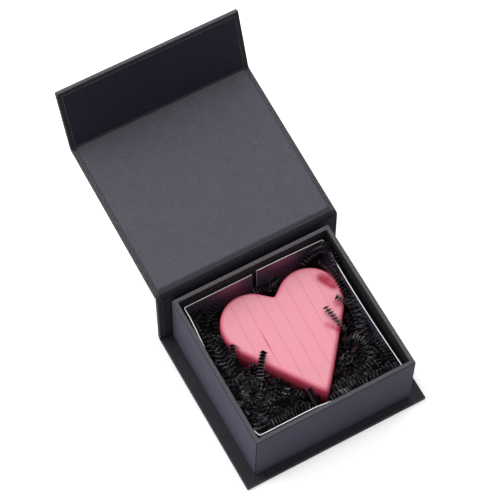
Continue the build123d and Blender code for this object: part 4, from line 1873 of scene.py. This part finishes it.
@dataclass
class Studio:
    """Floor, soft light, white surroundings and the camera.

    Attributes:
        eye: The camera's place.
        right: The camera's right in the frame.
        up: Its up.
        forward: The direction it looks in.
        focal: Focal length in millimetres.
        picture: Width of the picture that it is given for, in millimetres.
        floor_reach: Half the length of the floor's sides.
        floor_color: Color of the floor.
        floor_white: How much white is added to the floor as the camera sees it.
        around: Strength of the even light.
        target: The point that the lamps face.
        lamp_reach: Distance of the lamps from it.
        lamp_size: Length of a lamp's sides.
        lamps: A bank of soft lamps behind, two low ones there and one overhead.
    """

    eye: Vector = (-0.24366, -0.37153, 1.02310)
    right: Vector = (0.87511755, -0.48372065, 0.01354985)
    up: Vector = (0.42831913, 0.78731146, 0.44349)
    forward: Vector = (0.22519322, 0.38230223, -0.89617689)
    focal: float = 165.507
    picture: float = 36.0
    floor_reach: float = 3.0
    floor_color: Color = (0.92, 0.92, 0.92)
    floor_white: float = 0.36
    around: float = 0.16
    target: Vector = (0.0, 0.04, 0.03)
    lamp_reach: float = 1.5
    lamp_size: float = 0.9
    lamps: tuple[Lamp, ...] = (
        Lamp("behind_right", 45.0, 50.0, 4.6),
        Lamp("behind", 90.0, 50.0, 3.8),
        Lamp("behind_left", 135.0, 50.0, 5.6),
        Lamp("low_behind", 90.0, 20.0, 4.2),
        Lamp("low_left", 135.0, 20.0, 1.9),
        Lamp("overhead", 180.0, 86.0, 6.9),
    )

    def build(self) -> None:
        """Set the whole stage."""
        self._camera()
        self._floor()
        self._world()
        for lamp in self.lamps:
            self._lamp(lamp)
        bpy.context.scene.view_settings.view_transform = "Standard"

    @staticmethod
    def _stand(data: bpy.types.ID, axes: Sequence[Array], place: Array) -> bpy.types.Object:
        """Stand a camera or a lamp in the scene.

        Args:
            data: The camera or the lamp.
            axes: Its right, its up and the direction opposite to its view.
            place: Where it stands.

        Returns:
            The object, with the name of its data.
        """
        pose = np.eye(4)
        pose[:3, :3] = np.stack(axes, axis=1)
        pose[:3, 3] = place
        thing = bpy.data.objects.new(data.name, data)
        thing.matrix_world = Matrix(pose.tolist())
        bpy.context.scene.collection.objects.link(thing)
        return thing

    def _camera(self) -> None:
        """Stand the camera where the photograph was taken from."""
        data = bpy.data.cameras.new("camera")
        data.lens = self.focal
        data.sensor_width = self.picture
        data.clip_start = 0.05
        data.clip_end = 20.0
        axes = [self.right, self.up, -np.array(self.forward)]
        bpy.context.scene.camera = self._stand(data, axes, np.array(self.eye))

    def _floor(self) -> None:
        """Lay a pale floor that keeps the shadow, with a painted shadow where less white is added next to
        the box, and whiter away from it.
        """
        _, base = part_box("base_cover")
        material = bpy.data.materials.new("floor")
        graph = Graph(material)
        matte = graph.node("ShaderNodeBsdfDiffuse", None, {"Color": (*self.floor_color, 1.0)}).out()
        place = graph.node("ShaderNodeSeparateXYZ", None, {"Vector": graph.place()})
        x, y = ((abs(place.out(axis)) - float(half)).math("MAXIMUM", 0.0) for axis, half in zip("XY", base))
        away = (x * x + y * y).math("SQRT")
        # Painted shadow: less white within 9 mm of the box; beyond 0.2 m the floor goes evenly white.
        shadow_falloff_and_far_white = away.ramp(0.0, 9 * MM, 0.0, 0.42) + away.ramp(0.2, 0.7, 0.0, 0.58)
        white = graph.mix(shadow_falloff_and_far_white, (self.floor_white,) * 3, WHITE)
        seen = graph.node("ShaderNodeLightPath").out("Is Camera Ray")
        glow = graph.node("ShaderNodeEmission", None, {"Color": white, "Strength": seen}).out()
        both = graph.node("ShaderNodeAddShader", None, {0: matte, 1: glow}).out()
        graph.node("ShaderNodeOutputMaterial", None, {"Surface": both})
        mesh = bpy.data.meshes.new("floor")
        corners = self.floor_reach * np.array([(-1, -1, 0), (1, -1, 0), (1, 1, 0), (-1, 1, 0)])
        mesh.from_pydata(corners.tolist(), [], [(0, 1, 2, 3)])
        mesh.materials.append(material)
        floor = bpy.data.objects.new("floor", mesh)
        bpy.context.scene.collection.objects.link(floor)
        floor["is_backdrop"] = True

    def _world(self) -> None:
        """White surroundings as seen and mirrored, and a weaker even light."""
        world = bpy.data.worlds.new("surroundings")
        bpy.context.scene.world = world
        graph = Graph(world)
        path = graph.node("ShaderNodeLightPath")
        seen = path.out("Is Camera Ray").math("MAXIMUM", path.out("Is Glossy Ray"))
        seen = seen.math("MAXIMUM", path.out("Is Transmission Ray"))
        inputs = {"Color": (*WHITE, 1.0), "Strength": seen * (1.0 - self.around) + self.around}
        light = graph.node("ShaderNodeBackground", None, inputs).out()
        graph.node("ShaderNodeOutputWorld", None, {"Surface": light})

    def _lamp(self, lamp: Lamp) -> None:
        """Stand a lamp in its direction from the target, facing it.

        Args:
            lamp: The lamp.
        """
        data = bpy.data.lights.new(lamp.name, "AREA")
        data.shape = "SQUARE"
        data.size = self.lamp_size
        data.energy = lamp.power
        turn, rise = math.radians(lamp.azimuth), math.radians(lamp.elevation)
        back = np.array([math.cos(turn) * math.cos(rise), math.sin(turn) * math.cos(rise), math.sin(rise)])
        side = unit(np.cross([0.0, 0.0, 1.0], back))
        place = np.array(self.target) + self.lamp_reach * back
        self._stand(data, [side, np.cross(back, side), back], place)


def dress_hidden(nodes: dict[str, bpy.types.Object]) -> None:
    """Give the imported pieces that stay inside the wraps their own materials.

    Args:
        nodes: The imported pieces, by name.
    """
    walls = [f"tray_{side}" for side in ("floor", "front", "back", "left", "right")]
    boards = [f"{part}_board" for part in ("base", "spine", "lid", "flap", *walls)]
    finishes = {
        **dict.fromkeys(boards, Finish.GREYBOARD),
        "tray_corner_stays": Finish.STAY_PAPER,
        "tray_floor_lining": Finish.LINING_PAPER,
        "flap_magnets": Finish.MAGNET,
        "strike_discs": Finish.STRIKE,
    }
    for name, finish in finishes.items():
        nodes[name].data.materials.clear()
        nodes[name].data.materials.append(finish.material())


def main() -> None:
    """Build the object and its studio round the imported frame."""
    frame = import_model()
    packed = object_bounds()
    dress_hidden(frame["nodes"])
    Cover(frame["joints"]).build()
    Tray().build()
    Collar().build()
    heart = Heart()
    heart.build()
    Shred(heart).build()
    Studio().build()
    sizes = {"cad": packed, "visual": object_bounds()}
    plain = {key: [[float(x) for x in corner] for corner in box] for key, box in sizes.items()}
    log.info("sizes %s", plain)


if __name__ == "__main__":
    main()
